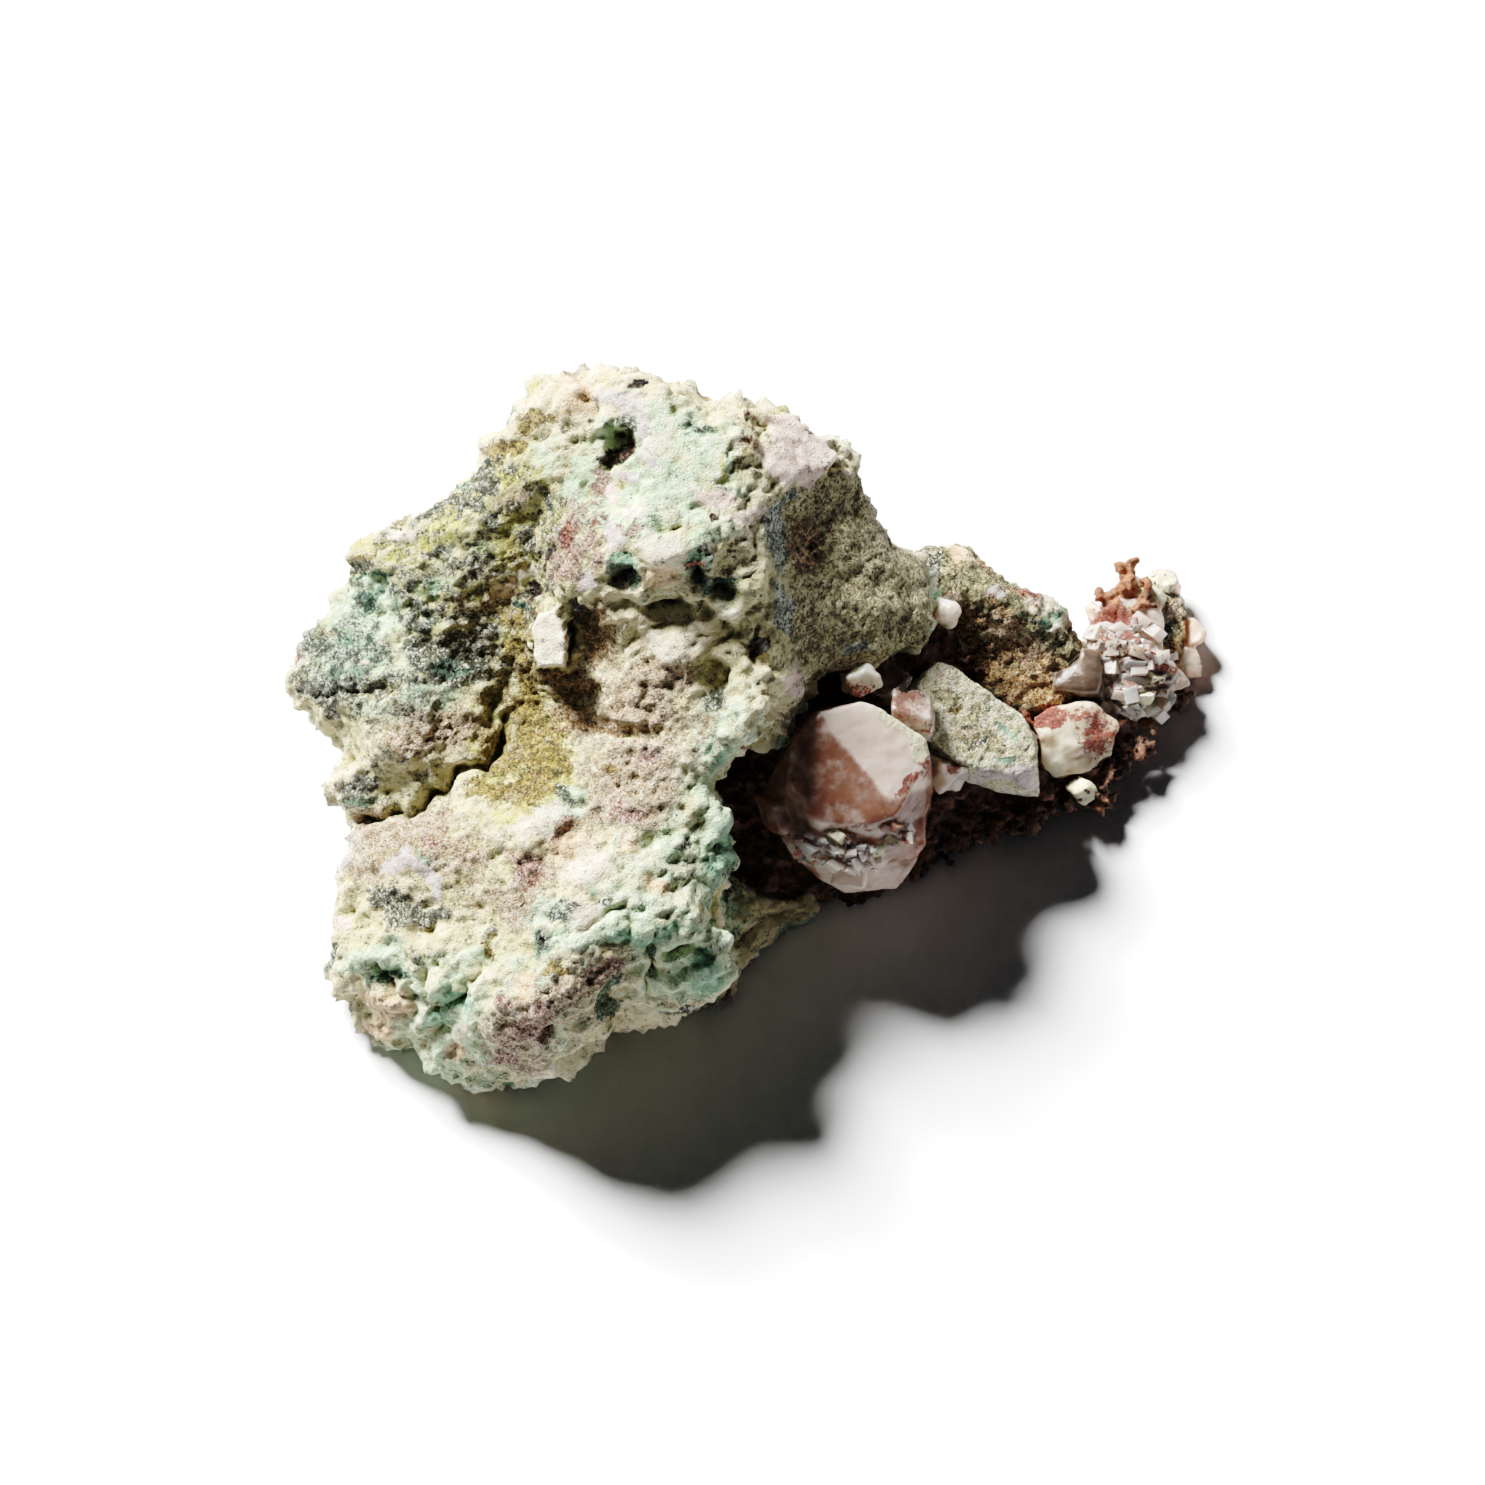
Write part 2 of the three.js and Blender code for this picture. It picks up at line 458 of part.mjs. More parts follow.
// Smallest solid with flat faces around points given in the face's frame
function hullSolid(points) {
  const corners = points.map(([u, v, w]) => new THREE.Vector3(...toRow(u, v, w)));
  return solidOfGeometry(new ConvexGeometry(corners));
}

// Calcite crystal: a sheared box with one corner cut off, turned about three axes
const RHOMB_SHEAR = 0.3;
const RHOMB_CUT = 0.2;
function rhombSolid([u, v, w], half, turn) {
  const spin = new THREE.Euler(turn * 1.3, turn * 0.7, turn);
  const corners = [];
  for (let corner = 0; corner < 8; corner += 1) {
    const sign = [corner & 1, (corner >> 1) & 1, (corner >> 2) & 1].map((on) => (on ? 1 : -1));
    const cuts = corner === 7 ? [[RHOMB_CUT, 1, 1], [1, RHOMB_CUT, 1], [1, 1, RHOMB_CUT]] : [[1, 1, 1]];
    cuts.forEach((cut) => {
      const local = sign.map((value, axis) => value * cut[axis] * half);
      local[0] += RHOMB_SHEAR * local[2];
      const point = new THREE.Vector3(...local).applyEuler(spin);
      corners.push([u + point.x, v + point.y, w + point.z]);
    });
  }
  return hullSolid(corners);
}

// Tapered twig through points that each have a radius
function twigSolid(points) {
  const beads = points.map(([u, v, w, radius]) => [
    [u - radius, v, w], [u + radius, v, w], [u, v - radius, w],
    [u, v + radius, w], [u, v, w - radius], [u, v, w + radius],
  ]);
  return beads.slice(1).map((bead, index) => hullSolid([...beads[index], ...bead]))
    .reduce((joined, piece) => joined.add(piece));
}

function boxSolid(size, centre) {
  const geometry = new THREE.BoxGeometry(...size);
  geometry.translate(...centre);
  return solidOfGeometry(geometry);
}

// Everything at or above a level
function above(solid, level) {
  return solid.subtract(boxSolid([BIG, BIG, BIG], [0, 0, level - BIG / 2]));
}

// The same solid with each face moved out by a gap
const MOST_MITRE = 2.2;
function grown(solid, gap) {
  const mesh = solid.getMesh();
  const { triVerts, vertProperties, numProp } = mesh;
  const faces = Array.from({ length: vertProperties.length / numProp }, () => []);
  const corner = (vertex) => new THREE.Vector3().fromArray(vertProperties, vertex * numProp);
  for (let item = 0; item < triVerts.length; item += 3) {
    const ring = [...triVerts.slice(item, item + 3)];
    const [a, b, c] = ring.map(corner);
    const normal = b.sub(a).cross(c.sub(a)).normalize();
    ring.forEach((vertex) => faces[vertex].push(normal));
  }
  const positions = faces.flatMap((normals, vertex) => {
    const mean = normals.reduce((sum, normal) => sum.add(normal), new THREE.Vector3()).normalize();
    const least = Math.min(...normals.map((normal) => normal.dot(mean)));
    const reach = gap / Math.max(least, 1 / MOST_MITRE);
    return corner(vertex).addScaledVector(mean, reach).toArray();
  });
  return solidOf(positions, triVerts);
}

// Largest body of a solid, once corners that lie on each other are merged
function largestBody(solid) {
  const { triVerts, vertProperties } = solid.getMesh();
  const geometry = new THREE.BufferGeometry();
  geometry.setAttribute('position', new THREE.BufferAttribute(vertProperties, 3));
  geometry.setIndex(new THREE.BufferAttribute(triVerts, 1));
  const bodies = solidOfGeometry(geometry).decompose();
  return bodies.reduce((best, body) => (body.volume() > best.volume() ? body : best));
}

// Cuts a solid clear of its neighbours
function cleared(solid, neighbours) {
  const cut = neighbours.reduce((rest, neighbour) => rest.subtract(grown(neighbour, GAP)), solid);
  return largestBody(largestBody(cut));
}

function mainBlock() {
  const heights = [
    ...LEFT_SLOPE, ...BULGE, ...POCKET, ...RIGHT_RIDGE, ...RIGHT_FACE, ...SMALL_LOBE, ...LOWER_LOBE,
  ];
  const face = heightSurface(heights);
  const lobes = (u, v, w) => {
    const rim = face(u, v) + rough(u, v, 0, FACE_GRAIN);
    const depth = Math.max(0, rim - RIM_DROP - w);
    const lumps = (rough(u, v, w, SIDE_LUMP) + rough(u, v, w, SIDE_GRAIN)) * Math.min(1, depth / RIM_DROP);
    const side = outlineDistance(BLOCK_OUTLINE, u, v) + UNDERCUT * depth + lumps;
    const lift = Math.min(1, toRow(u, v, rim)[2] / UNDERSIDE.highRim);
    const under = lift * (UNDERSIDE.edge + rough(u, v, 0, UNDERSIDE_LUMP)) + UNDERSIDE.slope * side;
    return Math.max(smoothMax(side, (w - rim) * TOP_SLOPE, RIM_ROUND), under - toRow(u, v, w)[2]);
  };
  const ledge = (u, v, w) => {
    const lumps = rough(u, v, w, LEDGE_GRAIN);
    return smoothMax(outlineDistance(LEDGE_OUTLINE, u, v) + lumps, w - LEDGE_TOP + lumps, LEDGE_ROUND);
  };
  const body = (u, v, w) => Math.min(lobes(u, v, w), ledge(u, v, w));
  return above(fieldSolid(body, BLOCK_SPACE, BLOCK_CELL), 0);
}

function backClast() {
  const face = heightSurface(BACK_CLAST_HEIGHTS);
  const plate = (u, v, w) => {
    const top = face(u, v) + rough(u, v, 0, BACK_CLAST_GRAIN);
    const side = outlineDistance(BACK_CLAST_OUTLINE, u, v) + rough(u, v, w, BACK_CLAST_EDGE);
    return smoothMax(side, Math.max(w - top, top - BACK_CLAST_DEPTH - w), BACK_CLAST_ROUND);
  };
  return above(fieldSolid(plate, BACK_CLAST_SPACE, BACK_CLAST_CELL), FLOOR_CLEARANCE);
}

function copperSprig() {
  return [SPRIG_STEM, ...SPRIG_ARMS].map(twigSolid).reduce((joined, twig) => joined.add(twig));
}

function nativeCopper() {
  const face = heightSurface(COPPER_HEIGHTS);
  const sheet = (u, v, w) => {
    const edge = outlineDistance(COPPER_OUTLINE, u, v) + rough(u, v, w, COPPER_EDGE);
    const level = Math.abs(w - face(u, v) + COPPER_HALF) - COPPER_HALF + rough(u, v, w, COPPER_GRAIN);
    return smoothMax(edge, level, COPPER_ROUND);
  };
  const grownOn = [twigSolid(EDGE_NUGGETS), copperSprig()];
  const copper = fieldSolid(sheet, COPPER_SPACE, COPPER_CELL);
  return above(grownOn.reduce((joined, piece) => joined.add(piece), copper), FLOOR_CLEARANCE);
}

function largeCalcite() {
  return CALCITE_CRUST.reduce(
    (joined, [u, v, w, half, turn]) => joined.add(rhombSolid([u, v, w], half, turn)),
    hullSolid(LARGE_CALCITE),
  );
}

// The crystals leave room for the sprig that they grew round
function endCluster() {
  const crystals = END_CLUSTER.map(([u, v, w, half, turn]) => rhombSolid([u, v, w], half, turn));
  const crust = crystals.reduce((joined, crystal) => joined.add(crystal));
  return above(crust.subtract(grown(copperSprig(), SPRIG_ROOM)), FLOOR_CLEARANCE);
}

// One named mesh, with flat shading, in the object's own frame
function meshOf(name, solid, colour, roughness, metalness) {
  const { triVerts, vertProperties } = solid.getMesh();
  const geometry = new THREE.BufferGeometry();
  geometry.setAttribute('position', new THREE.BufferAttribute(vertProperties, 3));
  geometry.setIndex(new THREE.BufferAttribute(triVerts, 1));
  const finish = { color: colour, roughness, metalness, flatShading: true };
  const mesh = new THREE.Mesh(geometry, new THREE.MeshStandardMaterial(finish));
  mesh.name = name;
  return mesh;
}

const CALCITE_PINK = '#d9b8aa';
const CALCITE_WHITE = '#e9dfd8';
const MATRIX_GREEN = '#cfd9bd';
const CLAST_GREEN = '#a9a88a';
const COPPER_BROWN = '#7a4630';

// Each piece is cut clear of those before it
const placed = [];
const parts = [];
function place(name, solid, colour, roughness = 0.9, metalness = 0) {
  const piece = cleared(solid, placed);
  placed.push(piece);
  parts.push(meshOf(name, piece, colour, roughness, metalness));
}

place('matrix_block', mainBlock(), MATRIX_GREEN);
place('calcite_large', largeCalcite(), CALCITE_PINK, 0.3);
place('clast_front', hullSolid(FRONT_CLAST), CLAST_GREEN);
place('clast_back', backClast(), CLAST_GREEN);
place('calcite_block_coated', hullSolid(SMALL_BLOCK), CALCITE_WHITE, 0.5);
place('clast_end', above(hullSolid(END_ROCK), FLOOR_CLEARANCE), CLAST_GREEN);
place('calcite_cluster_end', endCluster(), CALCITE_WHITE, 0.4);
SMALL_CALCITES.forEach(([name, centre, half, turn]) => {
  place(name, rhombSolid(centre, half, turn), CALCITE_WHITE, 0.35);
});
place('native_copper', nativeCopper(), COPPER_BROWN, 0.55, 0.8);

const specimen = new THREE.Group();
specimen.add(...parts);
const bounds = new THREE.Box3().setFromObject(specimen);
const centre = bounds.getCenter(new THREE.Vector3());
specimen.position.set(-centre.x, -centre.y, -bounds.min.z);

export default specimen;
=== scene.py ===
"""Looks of the native copper specimen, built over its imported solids."""
import math

import bmesh
import bpy
import numpy as np
from mathutils import Euler, Matrix, Vector


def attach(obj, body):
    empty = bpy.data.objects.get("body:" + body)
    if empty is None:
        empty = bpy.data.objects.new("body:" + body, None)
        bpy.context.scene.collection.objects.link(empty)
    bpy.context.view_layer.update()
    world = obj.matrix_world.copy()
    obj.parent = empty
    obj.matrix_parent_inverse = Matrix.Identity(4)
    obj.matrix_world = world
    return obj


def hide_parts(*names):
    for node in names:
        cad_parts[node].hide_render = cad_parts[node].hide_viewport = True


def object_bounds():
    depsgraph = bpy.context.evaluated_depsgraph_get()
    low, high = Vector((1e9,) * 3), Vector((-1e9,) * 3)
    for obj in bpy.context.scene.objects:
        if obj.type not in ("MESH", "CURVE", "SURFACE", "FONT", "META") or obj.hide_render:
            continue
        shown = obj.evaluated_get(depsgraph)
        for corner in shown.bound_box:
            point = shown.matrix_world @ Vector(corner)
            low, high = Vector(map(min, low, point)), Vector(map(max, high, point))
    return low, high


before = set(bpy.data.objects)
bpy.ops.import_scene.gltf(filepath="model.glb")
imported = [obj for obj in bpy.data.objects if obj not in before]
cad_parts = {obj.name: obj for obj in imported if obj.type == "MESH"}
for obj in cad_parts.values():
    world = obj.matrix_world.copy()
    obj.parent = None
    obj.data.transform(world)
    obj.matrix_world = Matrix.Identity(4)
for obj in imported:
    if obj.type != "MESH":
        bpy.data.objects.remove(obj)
cad_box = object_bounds()

MM = 0.001

# The broad face: u to the right, v up along it, w out of it, in millimetres
FACE_LEAN = math.radians(20)
FACE_ACROSS = np.array([1, 0, 0])
FACE_UP = np.array([0, math.cos(FACE_LEAN), math.sin(FACE_LEAN)])
FACE_OUT = np.array([0, -math.sin(FACE_LEAN), math.cos(FACE_LEAN)])
FACE_ORIGIN = np.array([-1.051, 1.110, 8.0])

# The camera looks straight down on the broad face: distance and aim in millimetres
CAMERA_REACH = 825
CAMERA_AIM = (0.25, -0.25, 10)
LENS = 200
SUN_TOWARDS = (-0.492, 0.587, 0.643)
SUN_ENERGY = 10.3
SUN_ANGLE = 16
WORLD_LIGHT = 0.014
WORLD_TINT = (0.85, 0.97, 1.2, 1)
FLOOR_GREY = 0.95
# Direction on the broad face that leads away from the sun
AWAY_FROM_LIGHT = np.array([0.538, -0.843])
# Highlights roll off as on film: light in, light out, between nothing and the brightest light
BRIGHTEST = 2.0
FILM_CURVE = [
    (0.03, 0.024), (0.1, 0.135), (0.25, 0.32), (0.5, 0.53), (1, 0.76), (1.5, 0.89), (1.85, 0.95),
]

# Sizes in millimetres: edges of the even faces, grains and flakes of the rock
BLOCK_VOXEL = 0.56
COPPER_VOXEL = 0.24
GRAIN_SIZE = 0.24
FLAKE_SIZE = 0.9
# A clast's tilted face stays where it is this far from its middle, on the side of the light
TILT_START = 4
# Relief is drawn out along streaks that run up to the right across the face
STREAK_TURN = math.radians(35)
STREAK_STRETCH = 1.5
# Calcite crystals lean this much
RHOMB_LEAN = Matrix.Shear("XY", 4, (0.3, 0.2))
# Directions that the rock breaks along
BREAKS = np.array([[0.96, 0.22, 0.16], [-0.34, 0.92, 0.2], [0.12, -0.42, 0.9], [0.6, 0.62, -0.5]])

# Large soft tints on the main block. Each row is a soft oval on the broad face:
# centre u and v, half size along and across, its turn in degrees, and how strong it is.
BLOCK_WASHES = {
    "lime": [
        (-30, 14, 20, 15, 30, 1), (-30, -22, 15, 17, 0, 0.4), (-22, -4, 8, 10, 0, 0.6),
        (-8, -16, 9, 14, 0, 0.3), (-6, 29, 14, 7, 0, 0.45), (-8, 20, 8, 5, 0, 0.4),
        (2, 12, 4, 10, 0, 0.55),
    ],
    "mint": [
        (-8, 26, 11, 10, 0, 0.6), (-6, -14, 9, 14, 0, 0.6), (-38, 8, 8, 8, 0, 0.42),
        (-26, -28, 14, 9, 20, 0.55), (-30, 18, 12, 7, 20, 0.3), (-2, 0, 5, 6, 0, 0.5),
    ],
    "teal": [
        (-34, 11, 11, 8, 0, 0.34), (-26, 23, 9, 6, 40, 0.3), (-4, -12, 5, 15, 0, 0.2),
        (-27, -29, 14, 8, 10, 0.22), (-5, 25, 9, 9, 0, 0.2), (-1, 2, 5, 6, 0, 0.36),
        (-6, 15, 8, 5, 0, 0.25),
    ],
    "dark": [
        (-27, 18, 13, 14, -30, 0.46), (-36, 7, 11, 7, 0, 0.53), (-31, -18, 9, 6, 0, 0.28),
        (-3, 16, 8, 5, 0, 0.22), (-35, -4, 7, 4, 0, 0.36), (-2, -17, 3, 12, 0, 0.26),
        (-26, -35, 12, 3, 0, 0.3), (-19, 26, 4, 8, 0, 0.26),
    ],
    "yellow": [
        (-25, 19, 7, 14, -30, 0.5), (-22, -1, 7, 9, 0, 0.5), (-36, 19, 6, 3, 0, 0.45),
        (-29, -12, 8, 4, 0, 0.22),
    ],
    "olive": [(-22.5, 10, 5, 15, -6, 0.44), (-21.5, -1.5, 6, 6, 0, 0.64)],
    "tan": [
        (-12, 1, 14, 7, -10, 0.5), (-25, -13, 13, 6, 0, 0.42), (-18, -26, 9, 6, 30, 0.45),
        (-30, 1, 10, 5, 8, 0.4), (-14, -9, 7, 6, 0, 0.36), (-34, -11, 6, 4, 0, 0.5),
    ],
    "purple": [(-17, -10, 6, 5, 30, 0.28), (-18, -26, 8, 5, 30, 0.2), (-15.6, 19.5, 3.6, 6.4, 0, 0.52)],
    "rust": [(-16, -10, 6, 4, 0, 0.16), (-20, -27, 7, 5, 30, 0.16)],
}
# Stains and mineral zones on the main block, and painted shade in the deep zone and some umber ovals: ovals
# as above at full strength, most with no turn
BLOCK_ZONES = {
    "lime": [
        (-23, 24, 3, 3), (-22.5, 8, 2.4, 6, 5), (-21.5, 29, 2.6, 2), (-22, -1, 3, 4),
        (-25, -19.5, 4, 2, 10), (-38.5, -18.5, 2.4, 3), (-8, 19.4, 2.6, 1.4), (-2, 28, 1.2, 1.6),
        (-30, -21.5, 4, 1.6, 10), (-31, 3, 5, 3), (-34, -5, 4, 2),
    ],
    "mint": [
        (-37, 12.5, 3.4, 3.6), (-38.5, 8, 3.6, 2.6), (-19.3, 28, 1.6, 2), (-8, 25.5, 3.4, 2.4),
        (-5, 30.4, 3.2, 2), (-5, 23.5, 1.6, 1.6), (-16.5, 24, 1.4, 3.6, -10), (-2.4, -12, 2.2, 6.5),
        (-13, -18.5, 6, 2, 8), (-28, -27, 2.6, 2.4, 30), (-27.7, -30, 2, 1.8), (-30, -34, 2, 1, -20),
        (-36, -22, 3.4, 1.6), (-17, -6.4, 2, 1.8), (-2.5, -2, 2.4, 3.4), (-4.6, -22, 3.6, 2.6),
        (-30, 16, 1.6, 1.2), (-20, -17, 3, 1.4), (-31, 4.5, 3, 1.4), (-41.5, 6, 2, 1.4),
        (-12.6, 20.4, 2, 1.4), (-35, -33, 3, 1.2, -30),
    ],
    "teal": [
        (-36.5, 16.4, 1.7, 0.7), (-36.6, 13.6, 1.2, 0.8), (-30.7, 15.8, 1.3, 1), (-31.6, 12.6, 1.4, 0.7),
        (-26.8, 25.6, 0.9, 0.7), (-26.6, 22.6, 1, 0.7), (-25.6, 19.6, 1.6, 0.6, 30),
        (-19, 23.6, 0.5, 1.6), (-22.6, 13.4, 1, 0.6), (-4, 31, 2, 0.9), (-4.2, 18, 0.9, 1.2),
        (-2, 15.6, 1.2, 0.8), (-11.6, 16.6, 1.2, 0.6, 20), (-28.1, -25.9, 1.5, 1.2),
        (-30.2, -27.9, 1.3, 0.7, 20), (-34.3, -23.8, 1.8, 0.7), (-2.4, -12, 1.2, 2.4), (-2, -9.5, 1, 2.2),
        (-2.6, -2, 1.2, 1.7), (-3.2, -22.2, 1.2, 2.6, 10), (-9, -19.5, 3.6, 0.7, 12),
        (-14, -13.8, 0.8, 1.6), (-38, 10, 2, 0.8), (-39.5, 6.5, 1.6, 0.8), (-19.6, -20.2, 0.8, 1.2),
        (-35, -33, 1.4, 0.7), (-41.4, -22.2, 1, 1.8), (-31.5, -11.8, 1.4, 0.5),
        (-5.6, 29.4, 0.7, 0.3, 20),
    ],
    "tan": [
        (-30, 1, 6.6, 2.6, 8), (-27, 13, 3.4, 2, 10), (-26.4, 16.4, 1.8, 0.9), (-24.6, 14.1, 1.3, 1.2),
        (-9.5, 4, 3.6, 3.4), (-10.6, -4.4, 4.2, 5.2, -25), (-21.5, -12.8, 2.8, 1.8, -15),
        (-23, -16.4, 2.6, 2), (-32, -9, 4, 2.6, 20), (-35, -11.4, 3, 2.4), (-28.4, -11, 3.4, 2.4, -10),
        (-21.6, -27.6, 4.6, 3.2, 30), (-16, -24.4, 4, 1.8, 28), (-21.5, -31.6, 3, 2, 20),
        (-16, 2, 4.4, 1.6, -8), (-37, -10.5, 2, 3.4, -10), (-21, -5.4, 2.6, 1.6), (0.9, 29, 1.7, 1.4),
        (-6.2, 6.6, 1.9, 2.2), (-21.8, 23.7, 1, 1.2),
    ],
    "purple": [
        (-17, 20.6, 1.8, 3, -10), (-17, 17.6, 1.1, 1.8), (-15.6, 15.4, 0.9, 1.3), (-14, 25, 1.2, 1.2),
        (-10.9, 20.6, 1.4, 0.5, 25), (-23.5, -25.5, 0.9, 0.7), (-18.9, -28.3, 0.7, 1.4),
        (-13.6, -23, 1.9, 1.3, 30), (-20.6, -27.6, 2.6, 1.4, 25), (-17.4, -9.3, 1.9, 1.1, 35),
        (-23.5, -5.1, 1.1, 0.7), (-22, -13.2, 1.4, 2), (-8.3, -1.2, 1.2, 0.9), (-30.5, -9.6, 1.8, 1, 20),
        (-11.5, -7.2, 1.6, 1.1), (-43.5, 8.5, 0.7, 0.9), (-23, -31.5, 1.6, 1.4),
    ],
    "yellow": [
        (-38.2, 19.6, 1.7, 0.7, 15), (-34.6, 18.4, 1.3, 0.5), (-29.4, 20.2, 2.6, 0.9, 15),
        (-23.4, 18.8, 2.6, 1, 60), (-22.2, 26.6, 1.5, 1), (-30.2, 24.7, 2.3, 0.5, 40),
        (-18.5, -3.5, 2, 1.4), (-43, 13.5, 1.4, 0.8), (-21.8, 21, 0.7, 1.2), (-22.4, 10, 1.2, 2.4),
        (-21.4, 4.6, 1.2, 2), (-19.8, -1.6, 1.8, 1.6), (-2, 27.4, 0.4, 1.4, 15),
    ],
    "olive": [
        (-20.6, 32.2, 1.8, 1), (-24.1, 29.4, 1.6, 1.1, 20), (-21.9, 29.7, 1.2, 1.1),
        (-37.6, 18.3, 1.3, 0.4, 10), (-22.9, 13.4, 1.3, 0.8), (-21.3, 13, 1, 0.6),
        (-22, 11.5, 1.2, 3, 10), (-21.6, 7.2, 1.5, 2.6), (-21.8, 3.6, 1.8, 2.6), (-20, -1.8, 2.9, 3.1),
        (-21.4, -4.6, 2.6, 1), (-25, -5, 2.2, 0.8, 10), (-12.6, -2.6, 1.2, 0.6), (0.4, 27.4, 1.2, 0.5),
        (-24.6, -20.5, 0.7, 0.5), (-24.4, 0.6, 1.5, 1.2), (-18.5, -23, 1.6, 0.5, 25),
        (-30.6, 24.9, 1.4, 0.3, 40),
    ],
    # Umber brown; its ovals in the hollow right of the white plate and on the right face also paint shade
    # there
    "umber": [
        (-14.8, 10.2, 2, 2.8), (-16.6, 5.8, 3.2, 1.3, -10), (-17.6, 3.4, 2.4, 0.7),
        (-15, 1.4, 4.6, 0.5, -8), (-24.6, 14.4, 1, 0.8), (1, 29.4, 1.2, 0.9), (6.9, 19.4, 1.4, 3, -10),
    ],
    "dark": [
        (-24.9, 26, 2.1, 1.7), (-29, 23.7, 2.8, 0.9, 20), (-31.6, 22.3, 1.6, 0.9, 20),
        (-26.4, 23.2, 1.6, 1.1), (-24.1, 21.4, 0.9, 0.9), (-19.2, 24.4, 0.4, 1.8),
        (-20.6, 20.8, 1.4, 0.35, 50), (-38.2, 17.4, 1.3, 0.4), (-20.8, 18.9, 0.8, 1),
        (-31.7, 14.3, 1, 0.6), (-33.4, 15, 0.4, 1.2), (-32.8, 12, 1.5, 1, 30), (-31, 9, 3.4, 1.7),
        (-27.4, 8.8, 4.4, 3), (-42.9, 10.6, 0.7, 1.7, -15), (-40, 8.8, 1.9, 0.8, -30),
        (-41, 5, 4, 1.6, 8), (-38.2, -4.8, 2.6, 1.1), (-33.8, -17.2, 2.5, 1.7), (-30.6, -16.5, 1.4, 0.8),
        (-35.9, -14.6, 1.2, 0.6), (-41.4, -22.2, 1, 2.2), (-14.7, 33.6, 0.9, 0.6), (-15.3, 32, 0.5, 0.6),
        (-11.4, 31.8, 0.9, 0.9), (-17.1, -17.1, 2, 0.7, 15), (-13.6, -16.2, 1.8, 0.6, 20),
        (-19.6, -20.2, 0.5, 1.2), (-17.8, -5.5, 1.5, 0.7, -45), (-5.5, -10.5, 0.4, 0.7), (-3, 4, 1.2, 1),
        (-27.4, -36.4, 3.6, 0.8, -10), (-34.2, -32.8, 1.6, 0.8, -30), (-5, -25.8, 3.2, 0.5, 8),
        (-4, 31.2, 2, 0.6), (-30.6, 18.8, 1.4, 0.5), (-42, 3, 2.4, 0.8, -30), (-3.5, 18.6, 0.5, 1),
        (-29.5, 6.2, 3, 1), (-2.4, 25, 0.5, 0.4), (-37.2, -33, 1.4, 0.8, -35),
        (-34.5, -15.6, 2.6, 0.5, 5), (-1.3, -15, 0.4, 1.8),
    ],
    "blue": [
        (4, 20, 1.3, 3.9, 5), (3, 21.6, 1, 1.2, -20), (5.2, 23.6, 1.2, 0.6, 30), (4.6, 12.4, 0.8, 2.8, 8),
        (12, 9, 1.2, 0.7, 20),
    ],
    "peach": [
        (-16.3, 34.3, 2.1, 1.9), (4.6, 32.8, 1.7, 0.9, -10), (-8, 16.1, 1.7, 1.4),
        (-35.5, -26.7, 2.7, 1.6), (-36.5, -29.3, 1.3, 1), (-28.5, -31.6, 0.8, 1.3), (-8, -14.4, 1.6, 0.9),
        (-10.8, -9.8, 1.2, 1), (-24.5, 15, 1.3, 1), (-21, -24, 1, 1.6), (-17, -10.6, 2, 1.4),
    ],
    "pink": [
        (0.7, 22.4, 1.4, 1.1), (1.2, 30.4, 0.3, 0.3), (-12.5, 23.9, 1, 0.8), (-40.8, -17.3, 0.8, 1.6),
        (-3, 24.2, 2, 1), (5.4, 6, 1.1, 1.9),
    ],
    "lilac": [
        (-11.4, 34, 1.7, 1.4), (-9.9, 31, 0.5, 2.6, 5), (-9, 27.4, 1, 0.6, -35), (-10.7, 25.6, 1.9, 0.4),
        (-34.2, -12.6, 1, 1.2), (-31.8, -13, 1.2, 0.9), (-30.4, -14.2, 0.9, 0.9),
        (-39.6, -10.4, 1.5, 2.4), (-12.6, 18.8, 0.9, 1.8), (-15.4, 15.2, 0.7, 1), (-14, -12.2, 1, 0.4),
    ],
    "white": [
        (-19.8, -8, 2.4, 1.6, 10), (-7.4, 9.4, 2, 1.2, -10), (-15.5, -12.8, 3.2, 1.7, 10),
        (-6.4, 9.2, 2.6, 1.5, -12), (-33.4, 20.9, 2.4, 0.7, 8), (-21.6, 15.8, 1.3, 0.5),
        (-15, -17.4, 2, 0.8, 20), (-7.3, 18.6, 2.6, 1.6), (-43.8, 8, 0.7, 0.5), (-1.2, 12.2, 1.6, 0.7),
        (-38, 7.6, 1, 0.5), (-10.6, 22.6, 1.6, 0.8, 25), (-27.7, -29.6, 1.4, 1),
        (-19.6, -32.6, 1.6, 0.6, 15), (-9, 29, 1, 1.4),
    ],
    # Deep green in hollows, partly painted shade where hollows and cast shadows fall dark
    "deep": [
        (-11.7, 15.8, 1.8, 0.9, 20), (-3.9, 15.8, 0.9, 1.3), (-2, 15.2, 1.6, 0.9, -20),
        (-34.4, -24.2, 1.7, 0.5, 5), (-36.6, 16.4, 1.2, 0.4), (-36.7, 13.4, 0.9, 0.5),
        (-39.2, 14.6, 0.3, 0.5), (-8.6, -21, 0.35, 2), (-12.4, -26, 1.3, 2.5, -20), (-29, 7, 1.6, 0.7),
        (-38.6, -6.6, 1.6, 0.6, -30), (-22.6, 13.6, 1, 0.5), (-27.4, -36.8, 2.4, 0.5, -10),
    ],
    "black": [
        (-12.2, 28.7, 0.9, 2.5, -25), (-13.2, 26.8, 1.2, 0.5, -10), (-15.9, 11.6, 0.7, 1.2, 10),
        (-16.8, 13, 1, 0.6), (-18.6, 18.2, 0.4, 1.5), (-34.8, 21.7, 0.65, 0.35), (-35, 19.7, 0.45, 0.45),
        (-10, 35.9, 0.9, 0.35), (-3.1, 22, 0.5, 0.45), (-20.8, 14.6, 0.8, 0.4, 20), (1.8, 8.4, 0.8, 1),
